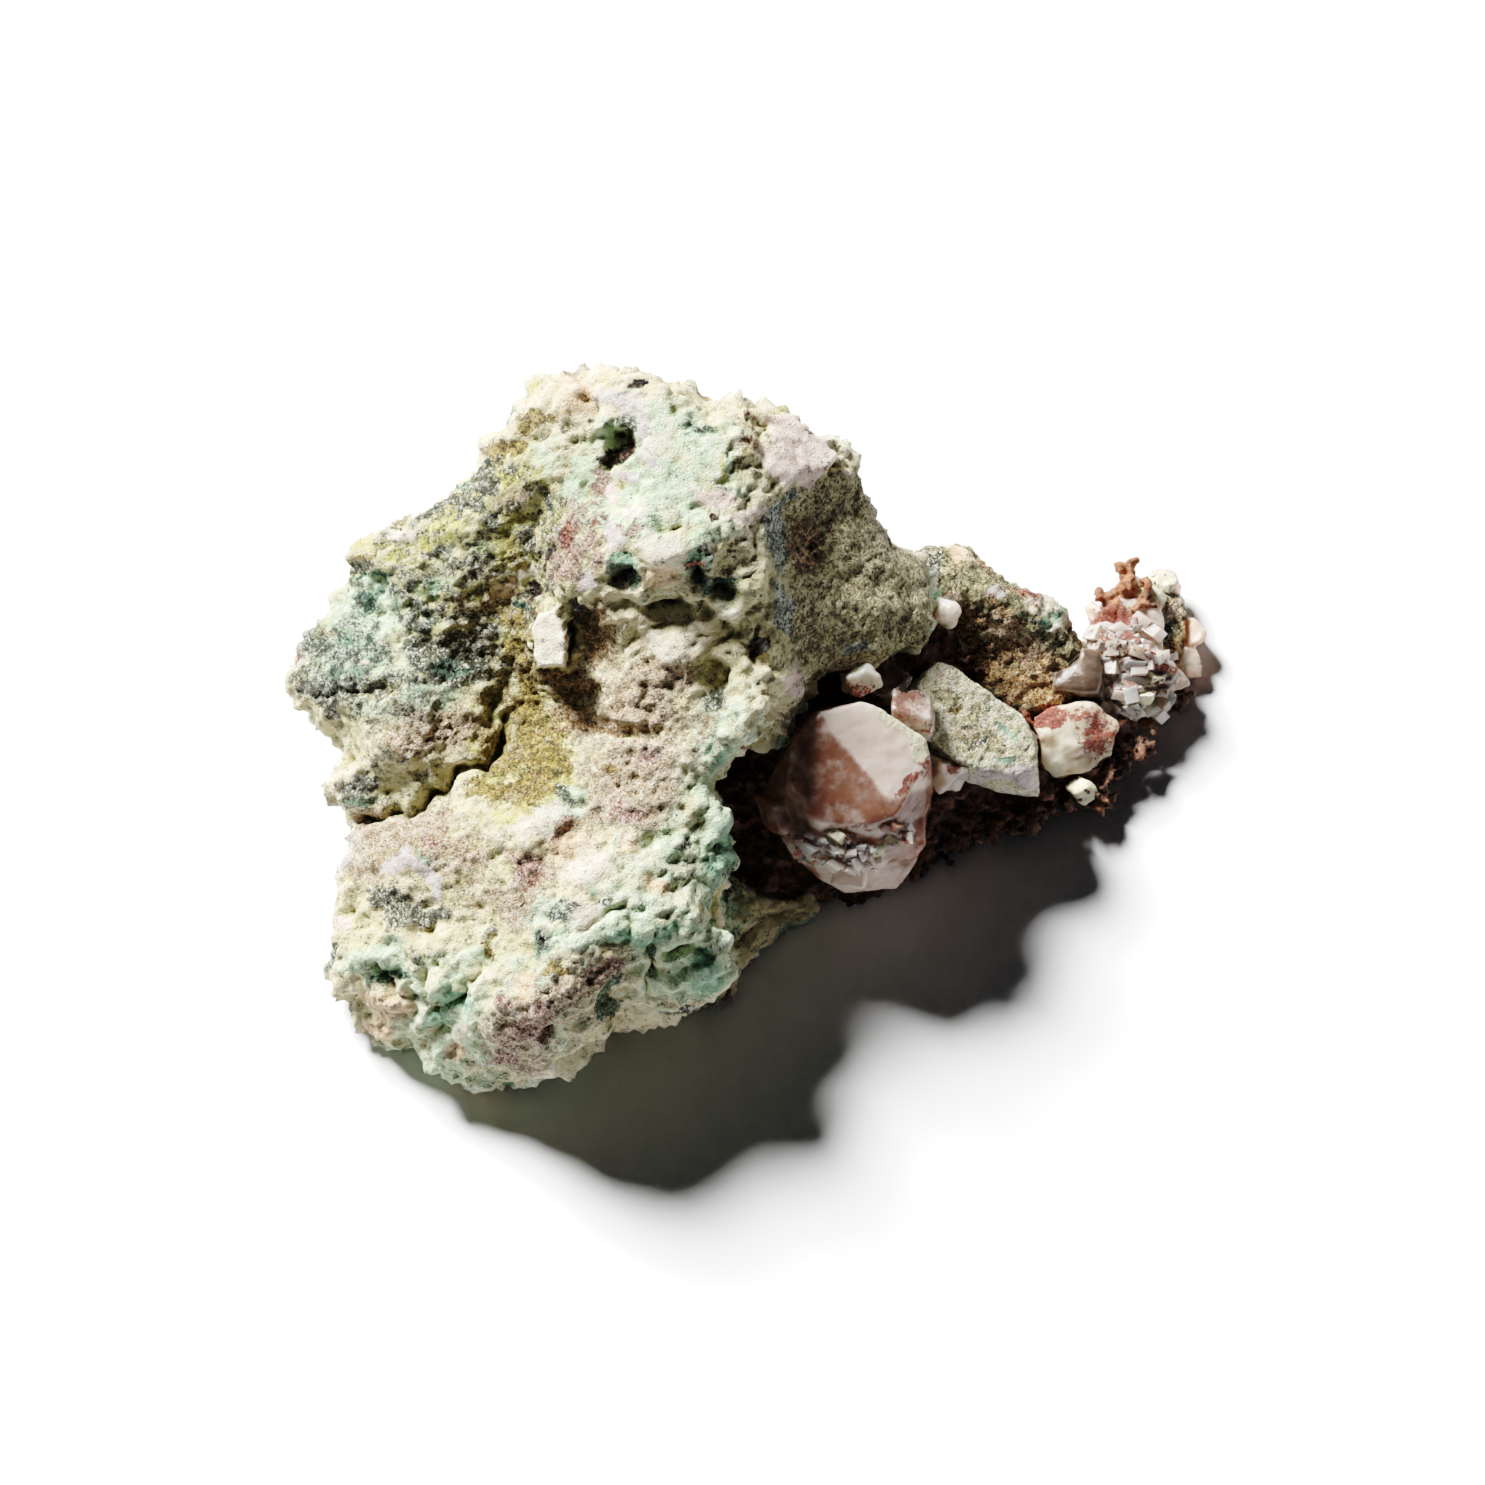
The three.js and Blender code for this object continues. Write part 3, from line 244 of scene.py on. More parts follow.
        (-22.5, -16.5, 0.3, 0.25), (-25.4, -20.4, 0.35, 0.3), (6.7, 31, 0.9, 0.4, -20),
        (-27.2, 17.7, 0.25, 0.25),
    ],
    "rust": [
        (-20.8, 12.3, 0.45, 0.35), (0.4, 32.4, 0.5, 0.3), (1.6, 31.9, 0.4, 0.3), (-14, 20.7, 0.45, 0.5),
        (-17, 20.8, 0.7, 1), (-4.4, 17.2, 0.5, 0.6), (-1.6, -25.3, 0.7, 0.3), (1.3, -0.8, 1, 0.6, 20),
        (7.8, 28.2, 0.5, 0.3), (-20.7, 20, 0.25, 0.4), (-21.8, -3, 0.5, 0.3), (-11.6, 29.4, 0.4, 0.6),
        (-43.6, 9, 0.3, 0.4),
    ],
}
# Zones with straight borders: outlines on the broad face
BLOCK_FIELDS = {
    "grey": [
        (2, 24), (5.5, 24.6), (9.6, 26.6), (12.4, 26.4), (21, 14), (21, 8), (6.4, 4.6), (3.6, 8),
        (3.2, 14),
    ],
    "pink": [
        (2.5, 32.3), (5, 32.6), (8, 30.4), (10.2, 28.2), (7.6, 26.6), (7, 25), (4.6, 24.2), (2.8, 26.2),
    ],
}

# Shapes on the main block's face, as ovals that sink or rise, with their height last
BLOCK_OVALS = [
    (-36.1, 15.2, 1.3, 1.5, 0, -0.9), (-36.7, 13.2, 1.4, 0.8, 0, -0.9), (-11.8, 15.5, 1.7, 1, 0, -1.5),
    (-4.3, 16.2, 0.9, 1.4, 0, -1.4), (-1.8, 14.8, 2, 1.2, -20, -1.3), (-15.4, 9.6, 2.2, 3.6, 10, -0.9),
    (1.8, 8.3, 1.1, 1.2, 0, -1.5), (-12.2, 28.6, 1.1, 2.7, -25, -1.5), (-20.5, 15, 0.7, 0.9, 0, -0.9),
    (-5.9, -20.8, 2.1, 0.8, 5, -1.3), (-34.8, -23.9, 1.8, 1, 10, -1.1),
    (-28.2, -25.6, 1.6, 1.2, 30, -0.8), (-18.9, -28.7, 0.8, 1.7, -15, -0.9),
    (-12.4, -26.2, 1.6, 2.4, -20, -1.4), (-22.4, -16.4, 0.4, 0.4, 0, -0.6),
    (-17.2, -9.2, 1.7, 1, 35, -0.4), (-7.2, 13, 2.2, 0.6, -5, -1), (-2.6, 6.4, 1.3, 2.4, 10, -0.9),
    (-12, 1, 5, 1, -8, -0.9), (7.4, 18.6, 0.9, 1.1, 0, -0.6), (-31.5, 9.5, 2, 1, 0, -0.5),
    (-33, -16.2, 2.6, 1, 0, -0.6), (-24.6, 3, 1.4, 2.4, 0, -0.7), (-2.4, 3.4, 1.2, 1, 0, -0.6),
    (-7.3, 18.5, 2.8, 2.2, 0, 0.9), (-12.8, 17.6, 1.3, 1.2, 0, 0.7), (-1.4, 12.2, 2.4, 1.3, -10, 0.9),
    (-6.3, 9.2, 2.8, 1.6, -12, 0.9), (1, 15.6, 1.5, 3, 0, 0.7), (-16.8, 32.8, 1.9, 1.9, 0, 0.8),
    (-13.8, 31.2, 1, 2, 0, 0.6), (-2, 28, 0.9, 1.8, 15, 0.7), (0.9, 28.7, 1.7, 1.5, 0, 0.6),
    (-19.8, -8, 3.4, 2.6, 10, 0.4), (-15, -13.2, 3.3, 2.1, 10, 0.4), (-1.8, -9.5, 1.5, 3.7, 0, 0.9),
    (-3.2, -22.2, 1.2, 1.5, 0, 0.7), (-36.8, -21.6, 2, 1.6, 20, 0.7), (-31, -20.5, 3, 1.2, 25, 0.6),
    (-33, -28.4, 4, 1.8, 10, 0.6), (-23.6, -25.6, 1, 0.8, 0, 0.5), (-26.8, -2, 2.6, 1.6, 5, 0.6),
    (-34, -1.6, 3.6, 1.4, 5, 0.5), (-33.4, 4, 3, 1.6, 0, 0.6), (-38.4, 8.2, 2, 1.4, 20, 0.5),
    (-26, 20.5, 2.6, 1, 20, 0.4), (-38, 18.6, 2.2, 1, 25, 0.5), (-9, 22.6, 2.6, 1.6, 30, 0.5),
    (-15, 22.5, 1.3, 2, 0, 0.4), (2.4, 32.6, 2, 1, -15, 0.4), (-6.4, 33, 2.4, 1.2, 0, 0.4),
    (-30.8, -33, 1.8, 1, -30, 0.5), (-19.5, -33, 2.4, 1, 15, 0.5),
]
# Broad swells of the main block's face, as ovals with their height last
BLOCK_SWELLS = [
    (12, 14, 7, 6, -30, 0.5), (4.4, 19, 2.6, 8, 5, -0.4), (-5.6, 5.2, 3.6, 5.4, 0, 1.2),
    (-4.4, -24.4, 9, 7, 0, 1.2), (-6.6, -18.6, 8, 4, 0, 1.1),
]
# Cracks across the face: depth and width, then the points they run through
BLOCK_CRACKS = [
    (1.7, 0.5, [(-39.4, -8.4), (-35.7, -7.4), (-32.6, -6.4), (-30, -4.6), (-28.1, -3), (-25.8, -2.5),
                (-24, -0.6), (-23.3, 0.6), (-22.6, 2.8)]),
    (0.7, 1, [(-19.3, 26), (-19.6, 22.7), (-20.6, 20), (-21.3, 16), (-21.6, 12), (-23, 7), (-24, 3)]),
    (0.7, 0.4, [(-15.4, 34.4), (-14.6, 32.6), (-13.5, 31), (-12, 29.4)]),
    (0.9, 0.3, [(-8.5, -18.8), (-8.7, -22.4), (-9.4, -24)]),
    (1, 0.6, [(-12.6, 13.4), (-9.4, 13), (-6, 12.4), (-3.6, 13.2), (-1.6, 11.2)]),
    (0.8, 0.4, [(-36.4, -22.6), (-34.8, -25.4), (-32, -25.8), (-31.4, -23)]),
    (0.6, 0.4, [(-30.4, -27.4), (-27, -23.6), (-24.4, -19.6)]),
    (0.7, 0.5, [(-38, -30.4), (-34.4, -31), (-31.4, -33.4), (-28, -33.6)]),
    (0.4, 0.3, [(-19.6, -20), (-15, -18.4), (-11, -16)]),
    (0.6, 0.3, [(-17.2, 8.8), (-17, 12.6), (-17.6, 14.6)]),
    (0.5, 0.3, [(-43, 4.6), (-38, 4.4), (-34.6, 5.6)]),
]
# White plate that stands out of the face: outline, level of its top at its centre, and how the top rises
WHITE_PLATE = [
    (-21.1, 11), (-20.2, 12.4), (-18, 12.9), (-17.6, 11.4), (-17.1, 9.6), (-17.4, 7.5), (-20.3, 7.1),
    (-20.9, 8.8),
]
WHITE_PLATE_CENTRE = (-19.2, 9.8)
WHITE_PLATE_LEVEL = 16.8
WHITE_PLATE_RISE = (0.35, -0.1)
# Plates with a raised flat top: height, edge softness and outline
BLOCK_PLATES = [
    (0.5, 0.5, [(2.5, 31), (7, 30.6), (10, 28), (7.4, 26.2), (4, 24.6), (2.4, 27)]),
    (0.6, 0.5, [(-40, -18.4), (-33, -19.4), (-29.6, -24), (-33, -27.4), (-40.4, -25)]),
    (0.6, 0.4, [(-9.6, 26.4), (-8.4, 35), (-6.8, 35), (-7.2, 26)]),
]

# How many small lumps lie all over the copper
COPPER_NUGGETS = 700
# The sprig's twigs: start, end, how far lumps stray and how many there are
SPRIG_TWIGS = [
    ((38.4, 12.4, -8.6), (39.2, 15.6, -7.9), 0.55, 40), ((39.2, 15.4, -8), (40, 18.2, -7.4), 0.25, 24),
    ((39.8, 18.2, -7.4), (40.6, 18.3, -7.2), 0.12, 6), ((38.8, 14.6, -8), (37, 14.4, -7.6), 0.28, 18),
    ((39.2, 16.2, -7.8), (38.8, 18, -7.5), 0.16, 10), ((39.6, 15, -8), (42, 16.2, -7.6), 0.28, 22),
    ((37.6, 13.2, -6.6), (41.4, 13.4, -6), 0.5, 44), ((38.6, 14, -6.8), (39.8, 16.4, -7), 0.5, 34),
    ((37.8, 13.6, -6.8), (36.8, 15, -6.8), 0.28, 16), ((40.8, 13.6, -6.2), (42, 16.4, -6.6), 0.26, 24),
]
# Ragged lower rim of the copper in front of the small calcite
RIM_TWIGS = [
    ((31, -6.6, -3.2), (37.4, -5.8, -3.6), 0.6, 80), ((36.4, -4.6, -3.4), (41.4, 0.2, -5.4), 0.6, 60),
    ((24, -9.6, -2.4), (32, -6.8, -3), 0.6, 60), ((41.4, 2.6, -7), (45.6, 5, -9), 0.5, 40),
]
# The oval on the face that holds the sprig
SPRIG_OVAL = (39, 16, 3, 3.4)
# Where the copper lies lower, in front of the back clast
COPPER_SUNK = (24.8, 8.6, 4.6, 5.6)
# Where the copper is bright: ovals on the face
COPPER_BRIGHT = [
    (12.6, 25.4, 1.6, 3.4), (26.6, 17.6, 3.6, 2, -30), (30.4, 2.2, 2.2, 1.6), (16.6, -5, 2.4, 1, 40),
    (36.4, 9, 1, 3), (33, 15.2, 3, 1, -30), (36, 4.6, 2.4, 1), (18, 4, 1, 2), (15.8, -1.6, 0.8, 4, 30),
]
# Stains on the clasts, as on the main block
CLAST_BACK_ZONES = {
    "tan": [(26, 11, 3, 2), (21.5, 13, 2, 1.6), (30, 8.6, 3, 1.4)],
    "dark": [(19.4, 17.2, 1.2, 2.4), (31, 12.4, 1.4, 0.6, -20)],
    "teal": [(28.5, 12.6, 1.2, 0.6), (32.2, 12.4, 1, 0.8), (19, 14.6, 0.8, 1.4), (33.1, 13.7, 0.4, 0.5)],
    "lilac": [(25.4, 15, 1.2, 0.5, 20)],
    "umber": [(22, 10.6, 3, 1.6, 20), (26, 8.4, 4, 1.4, 10), (27, 13, 3, 0.8, -30)],
    "orange": [(30.4, 5.6, 4, 2.4), (25, 6.4, 2, 1.4), (33, 7, 1.8, 2.4)],
    "rust": [
        (27, 17.2, 3, 0.9, -32), (32.4, 3.6, 1.6, 0.5), (24.8, 18, 0.8, 0.6), (29.6, 15.6, 1.6, 0.5, -30),
    ],
    "white": [(30.6, 14.2, 2.4, 0.5, -30), (32.8, 12.6, 0.7, 1.4, 20)],
    "peach": [(23.1, 18.8, 1.8, 1.2)],
}
CLAST_FRONT_ZONES = {
    "tan": [(23.5, 0.2, 2, 1, -20), (20.2, 6.8, 0.8, 0.6)],
    "grey": [(24, -0.6, 2.6, 1.2, -10), (20.2, 4.6, 1.2, 0.8), (23.6, 2.4, 1.4, 0.8)],
    "dark": [(23.6, -0.8, 1.2, 0.5), (22.6, 1.2, 0.7, 0.5)],
    "teal": [(27.2, 1.1, 1.1, 0.6), (26.2, -2.6, 0.9, 0.4)],
    "olive": [(21, 3.4, 0.6, 0.3, 20), (25, 1.2, 0.5, 0.3)],
    "lilac": [(28.6, -4, 1.8, 1), (25, -4.6, 2.4, 0.7)],
}
CLAST_END_ZONES = {
    "dark": [(43.4, 12, 1, 2), (44.6, 14, 1, 0.6)],
    "olive": [(43, 10.4, 1, 0.8)],
    "orange": [(45.6, 11.4, 0.8, 1.2), (45, 9.8, 1, 0.6)],
    "tan": [(44, 13.4, 1.4, 1)],
}

# On the sides that the broad face hides: how rare a zone is, from -1 to 1, and the size of its lumps
HIDDEN_ZONES = {
    "lime": (-0.2, 11), "mint": (-0.05, 9), "tan": (0.1, 9), "teal": (0.3, 5), "dark": (0.25, 6),
    "grey": (0.2, 9), "yellow": (0.4, 6), "olive": (0.45, 6), "orange": (0.2, 5), "umber": (0.5, 5),
}
# The same for any zone that isn't named there
RARE_ZONE = (0.75, 4)

# Grain palettes: four colours from the darkest grain to the palest one
PALETTES = {
    "cream": ("#a8966a", "#d2c394", "#e2d5ae", "#f2e8cc"),
    "lime": ("#8f8752", "#b9b17c", "#d2ca9a", "#e6e0be"),
    "mint": ("#86a787", "#abcaa6", "#cadfbc", "#e2ebd0"),
    "teal": ("#325f45", "#5f9073", "#92ba98", "#c6dec2"),
    "deep": ("#0e1c14", "#223d2e", "#456850", "#86a487"),
    "grey": ("#6f6446", "#a3976f", "#c4b78d", "#ddd2ab"),
    "blue": ("#36413d", "#72807a", "#a9b5ac", "#d6dacd"),
    "tan": ("#876348", "#c09f82", "#dac0a2", "#eedfc8"),
    "purple": ("#6e4034", "#a07464", "#c29c8c", "#dfc9bd"),
    "yellow": ("#857d2e", "#b0a546", "#ccc270", "#e0d9a2"),
    "olive": ("#3a2e08", "#755d1e", "#a08236", "#c6ac60"),
    "umber": ("#40280f", "#7a5430", "#ab8357", "#d2b88e"),
    "dark": ("#12140c", "#393d2f", "#70745e", "#eaebdd"),
    "peach": ("#b5825a", "#d6ac82", "#e7caa6", "#f0dec2"),
    "pink": ("#b98b7c", "#d8baac", "#e8d5c9", "#f2e8de"),
    "lilac": ("#8b8180", "#b3a8a6", "#cfc5c1", "#e9e2de"),
    "white": ("#bbae90", "#d7ccb2", "#e7dec7", "#f4eedd"),
    "black": ("#0a0806", "#1d1510", "#3c2b22", "#806650"),
    "rust": ("#3f160d", "#742f1e", "#9f5138", "#c98f70"),
    "clay": ("#473f24", "#776d45", "#9c9269", "#c2b98f"),
    "sand": ("#c6be92", "#e0d8ae", "#eee8ca", "#f8f3de"),
    "orange": ("#7a4e28", "#b48450", "#d6ab74", "#ecd2a8"),
}
# Palettes of granular rock, and of smooth mineral
GRANULAR = (
    "tan", "dark", "olive", "umber", "purple", "grey", "blue", "clay", "sand", "orange", "black", "deep",
    "rust",
)
CALM = ("white", "lilac", "pink")
# How fully a zone covers what lies under it, where that isn't the usual cover
ZONE_COVER = {
    "grey": 1.0, "blue": 0.85, "tan": 0.8, "mint": 0.85, "purple": 0.85, "lime": 0.85, "black": 1.0,
}
USUAL_COVER = 0.9
# Palettes that shine a little
GLOSSY = ("dark", "black", "lilac", "pink")
# Colours on top of the rock's: painted shade with some grime in hollows, painted shade with deep green in
# deep ones, a painted highlight on high parts, specks, and painted shade in pores
HOLLOW_SHADE_AND_GRIME = "#b4b088"
DEEP_HOLLOW_SHADE_AND_GREEN = "#5f7a58"
HIGH_PART_HIGHLIGHT = "#fffaec"
SPECK_COLOUR = "#2c3324"
PORE_SHADE = "#94937a"
# Colours in the calcite: of its pale threads and of the dots in its crust
THREAD_COLOUR = "#f7ece2"
DOT_COLOUR = "#54381f"
# Copper from its oxide to bare metal, then its bright edges and the dust on it
COPPER_COLOURS = ("#3e2c22", "#70503e", "#a46c4e", "#d8966a")
COPPER_EDGE = "#94532f"
COPPER_DUST = "#8a7a58"


def to_row(u, v, w):
    """A place on the broad face as a point of the part, in millimetres."""
    return FACE_ORIGIN + u * FACE_ACROSS + v * FACE_UP + w * FACE_OUT


def to_face(points):
    """Points of the part as places u, v and w on the broad face, in millimetres."""
    local = points - FACE_ORIGIN
    return np.stack([local[:, 0], local @ FACE_UP, local @ FACE_OUT], axis=1)


def smooth_step(low, high, value):
    """Rises softly from 0 at low to 1 at high; low may be the larger one."""
    share = np.clip((value - low) / (high - low), 0, 1)
    return share * share * (3 - 2 * share)


# Random values and noise, the same in every run
HASH_STEPS = np.array([374761393, 668265263, 2147483647], dtype=np.uint32)
HASH_MIXES = (np.uint32(1274126177), np.uint32(2246822519))


def hashed(cells, seed):
    """Random number from 0 to 1 for each whole-number place."""
    mix = (cells.astype(np.uint32) * HASH_STEPS).sum(axis=1, dtype=np.uint32)
    mix = mix + np.uint32(seed * 40503 + 9781)
    mix = (mix ^ (mix >> np.uint32(13))) * HASH_MIXES[0]
    mix = (mix ^ (mix >> np.uint32(15))) * HASH_MIXES[1]
    return (mix ^ (mix >> np.uint32(16))) / 2.0**32


def noise(points, size, seed):
    """Smooth random value, mostly from -1 to 1, with lumps of a size."""
    place = points / size
    base = np.floor(place)
    part = place - base
    weights = part * part * (3 - 2 * part)
    base = base.astype(np.int64)
    total = np.zeros(len(points))
    for corner in np.ndindex(2, 2, 2):
        cell = base + np.array(corner)
        weight = np.where(corner, weights, 1 - weights).prod(axis=1)
        slope = [2 * hashed(cell, 3 * seed + axis) - 1 for axis in range(3)]
        offset = part - np.array(corner)
        total += weight * sum(slope[axis] * offset[:, axis] for axis in range(3))
    return 1.6 * total


def layered(points, size, seed, layers=4, fade=0.5):
    """Noise with finer and weaker layers added to it."""
    return sum(fade**step * noise(points, size / 2.1**step, seed + 7 * step) for step in range(layers))


def near_cells(points, size, seed):
    """For each of the 27 cells around a point: the cell and the way from its random centre."""
    place = points / size
    base = np.floor(place).astype(np.int64)
    for step in np.ndindex(3, 3, 3):
        cell = base + np.array(step) - 1
        centre = cell + np.stack([hashed(cell, seed + axis) for axis in range(3)], axis=1)
        yield cell, place - centre


def tilted(cell, offset, seed):
    """Height at an offset of a plane that tilts at random with its cell."""
    return sum((2 * hashed(cell, seed + axis) - 1) * offset[:, axis] for axis in range(3))


def scoops(points, size, seed):
    """Hollow scoops of a size with sharp ridges between them, from 0 to about 1."""
    lowest = np.full(len(points), 9.0)
    for cell, offset in near_cells(points, size, seed):
        reach = (offset**2).sum(axis=1) + 0.4 * tilted(cell, offset, seed + 3)
        lowest = np.minimum(lowest, reach + 0.5 * hashed(cell, seed + 6))
    return lowest


def chunks(points, size, seed, steep=4, flat=0.32):
    """Broken chunks of a size with flat tilted tops and steep sides, about -0.7 to 0.7."""
    highest = np.full(len(points), -9.0)
    for cell, offset in near_cells(points, size, seed):
        fall = steep * np.maximum(np.abs(offset @ BREAKS.T).max(axis=1) - flat, 0)
        level = 1.5 * hashed(cell, seed + 6) + 0.9 * tilted(cell, offset, seed + 3)
        highest = np.maximum(highest, level - fall)
    return highest - 0.75


# Marks placed on the broad face
def oval_reach(place, u, v, half_along, half_across, turn=0):
    """Distance from an oval's centre, 1 on its border."""
    along_u, along_v = math.cos(math.radians(turn)), math.sin(math.radians(turn))
    du, dv = place[:, 0] - u, place[:, 1] - v
    return np.hypot((du * along_u + dv * along_v) / half_along, (dv * along_u - du * along_v) / half_across)


def line_distance(place, start, end):
    """Distance to a straight line piece on the face."""
    start, end = np.array(start), np.array(end)
    along = end - start
    share = np.clip(((place[:, :2] - start) @ along) / (along @ along), 0, 1)
    return np.linalg.norm(place[:, :2] - start - share[:, None] * along, axis=1)


def outline_distance(place, outline):
    """Distance to an outline on the face, negative inside it."""
    u, v = place[:, 0], place[:, 1]
    nearest = np.full(len(place), 1e9)
    inside = np.zeros(len(place), dtype=bool)
    for start, end in zip(outline, outline[1:] + outline[:1]):
        nearest = np.minimum(nearest, line_distance(place, start, end))
        if start[1] != end[1]:
            crossing = start[0] + (v - start[1]) / (end[1] - start[1]) * (end[0] - start[0])
            inside ^= ((start[1] > v) != (end[1] > v)) & (u < crossing)
    return np.where(inside, -nearest, nearest)


def zone_masks(place, facing, zones, seed, fields=None, washes=None):
    """Share from 0 to 1 of each zone: as listed on the face that shows, at random on the others."""
    warped = place.copy()
    for axis in range(2):
        warped[:, axis] += 1.3 * layered(place, 5.5, seed + axis, 4, 0.62)
    shown = smooth_step(0.02, 0.3, facing)
    masks = {}
    for number, name in enumerate(zones):
        mask = np.zeros(len(place))
        for row in zones[name]:
            mask = np.maximum(mask, smooth_step(1.7, 0.3, oval_reach(warped, *row)))
        for *oval, strength in (washes or {}).get(name, []):
            mask = np.maximum(mask, strength * smooth_step(1.2, 0.6, oval_reach(warped, *oval)))
        if fields and name in fields:
            mask = np.maximum(mask, smooth_step(0.5, -0.5, outline_distance(warped, fields[name])))
        start, lump = HIDDEN_ZONES.get(name, RARE_ZONE)
        scattered = 0.8 * smooth_step(start, start + 0.45, layered(place, lump, seed + 11 * number, 3))
        masks[name] = shown * mask + (1 - shown) * scattered
    return masks


# Meshes, worked on in millimetres
def node_mesh(name):
    """Copy of a CAD node's mesh in millimetres."""
    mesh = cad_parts[name].data.copy()
    mesh.transform(Matrix.Scale(1 / MM, 4))
    mesh.materials.clear()
    return mesh


def remeshed(mesh, voxel):
    """The same shape with even square faces."""
    work = bpy.data.objects.new("work", mesh)
    bpy.context.collection.objects.link(work)
    modifier = work.modifiers.new("even", "REMESH")
    modifier.mode = "VOXEL"
    modifier.voxel_size = voxel
    made = bpy.data.meshes.new_from_object(work.evaluated_get(bpy.context.evaluated_depsgraph_get()))
    bpy.data.objects.remove(work)
    return made


def split_front(mesh, least):
    """Halves the faces that look out of the broad face."""
    out = Vector(FACE_OUT)
    work = bmesh.new()
    work.from_mesh(mesh)
    edges = {edge for face in work.faces if face.normal.dot(out) > least for edge in face.edges}
    bmesh.ops.subdivide_edges(work, edges=list(edges), cuts=1, use_grid_fill=True)
    work.to_mesh(mesh)
    work.free()


def vertex_values(collection, name):
    """One vector for each item of a mesh's collection."""
    values = np.empty(3 * len(collection))
    collection.foreach_get(name, values)
    return values.reshape(-1, 3)


class Surface:
    """A mesh as arrays: its points, their normals, and what joins them."""

    def __init__(self, mesh):
        self.mesh = mesh
        self.points = vertex_values(mesh.vertices, "co")
        edges = np.empty(2 * len(mesh.edges), dtype=np.int64)
        mesh.edges.foreach_get("vertices", edges)
        self.ends = edges.reshape(-1, 2)
        self.joined = np.bincount(self.ends.ravel(), minlength=len(self.points))[:, None]

    def eased(self, values, rounds, share=0.6):
        """Values drawn towards the mean of their neighbours."""
        start, end = self.ends.T
        for _ in range(rounds):
            mean = np.stack([
                np.bincount(start, column[end], len(values)) + np.bincount(end, column[start], len(values))
                for column in values.T
            ], axis=1) / self.joined
            values = values + share * (mean - values)
        return values

    def write(self):
        self.mesh.vertices.foreach_set("co", self.points.ravel())
        self.mesh.update()

    def normals(self):
        self.write()
        return vertex_values(self.mesh.vertex_normals, "vector")

    def smooth_normals(self, rounds):
        normals = self.eased(self.normals(), rounds)
        return normals / np.linalg.norm(normals, axis=1)[:, None]

    def rounded(self, rounds, normal_rounds, growth):
        """Rounds the shape, moves it out by a growth to keep its size, and gives its smooth normals."""
        self.points = self.eased(self.points, rounds)
        normals = self.smooth_normals(normal_rounds)
        self.points += growth * normals
        return normals

    def hollows(self, rounds):
        """How far each point lies below its neighbourhood, in millimetres."""
        return ((self.eased(self.points, rounds) - self.points) * self.normals()).sum(axis=1)

    def store(self, name, values):
        attribute = self.mesh.attributes.new(name, "FLOAT", "POINT")
        attribute.data.foreach_set("value", np.asarray(values, dtype=np.float32))


def finished_piece(name, surface, material, nodes, crystals=()):
    """Makes the piece from a surface, kept above the floor and inside the CAD model's box."""
    mesh = surface.mesh
    surface.write()
    mesh.polygons.foreach_set("use_smooth", np.ones(len(mesh.polygons), dtype=bool))
    if len(crystals):
        add_rhombs(mesh, crystals)
        mark_crystals(mesh, len(surface.points))
    low, high = (np.array(corner) / MM for corner in cad_box)
    points = np.clip(vertex_values(mesh.vertices, "co"), low, high)
    mesh.vertices.foreach_set("co", points.ravel())
    mesh.transform(Matrix.Scale(MM, 4))
    mesh.name = name
    mesh.materials.append(material)
    piece = bpy.data.objects.new(name, mesh)
    bpy.context.collection.objects.link(piece)
    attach(piece, "root")
    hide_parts(*nodes)


# Materials, with sizes in millimetres
def linear(code):
    """Linear colour of a hex code."""
    parts = [int(code[item:item + 2], 16) / 255 for item in (1, 3, 5)]
    return [part / 12.92 if part <= 0.04045 else ((part + 0.055) / 1.055) ** 2.4 for part in parts] + [1]


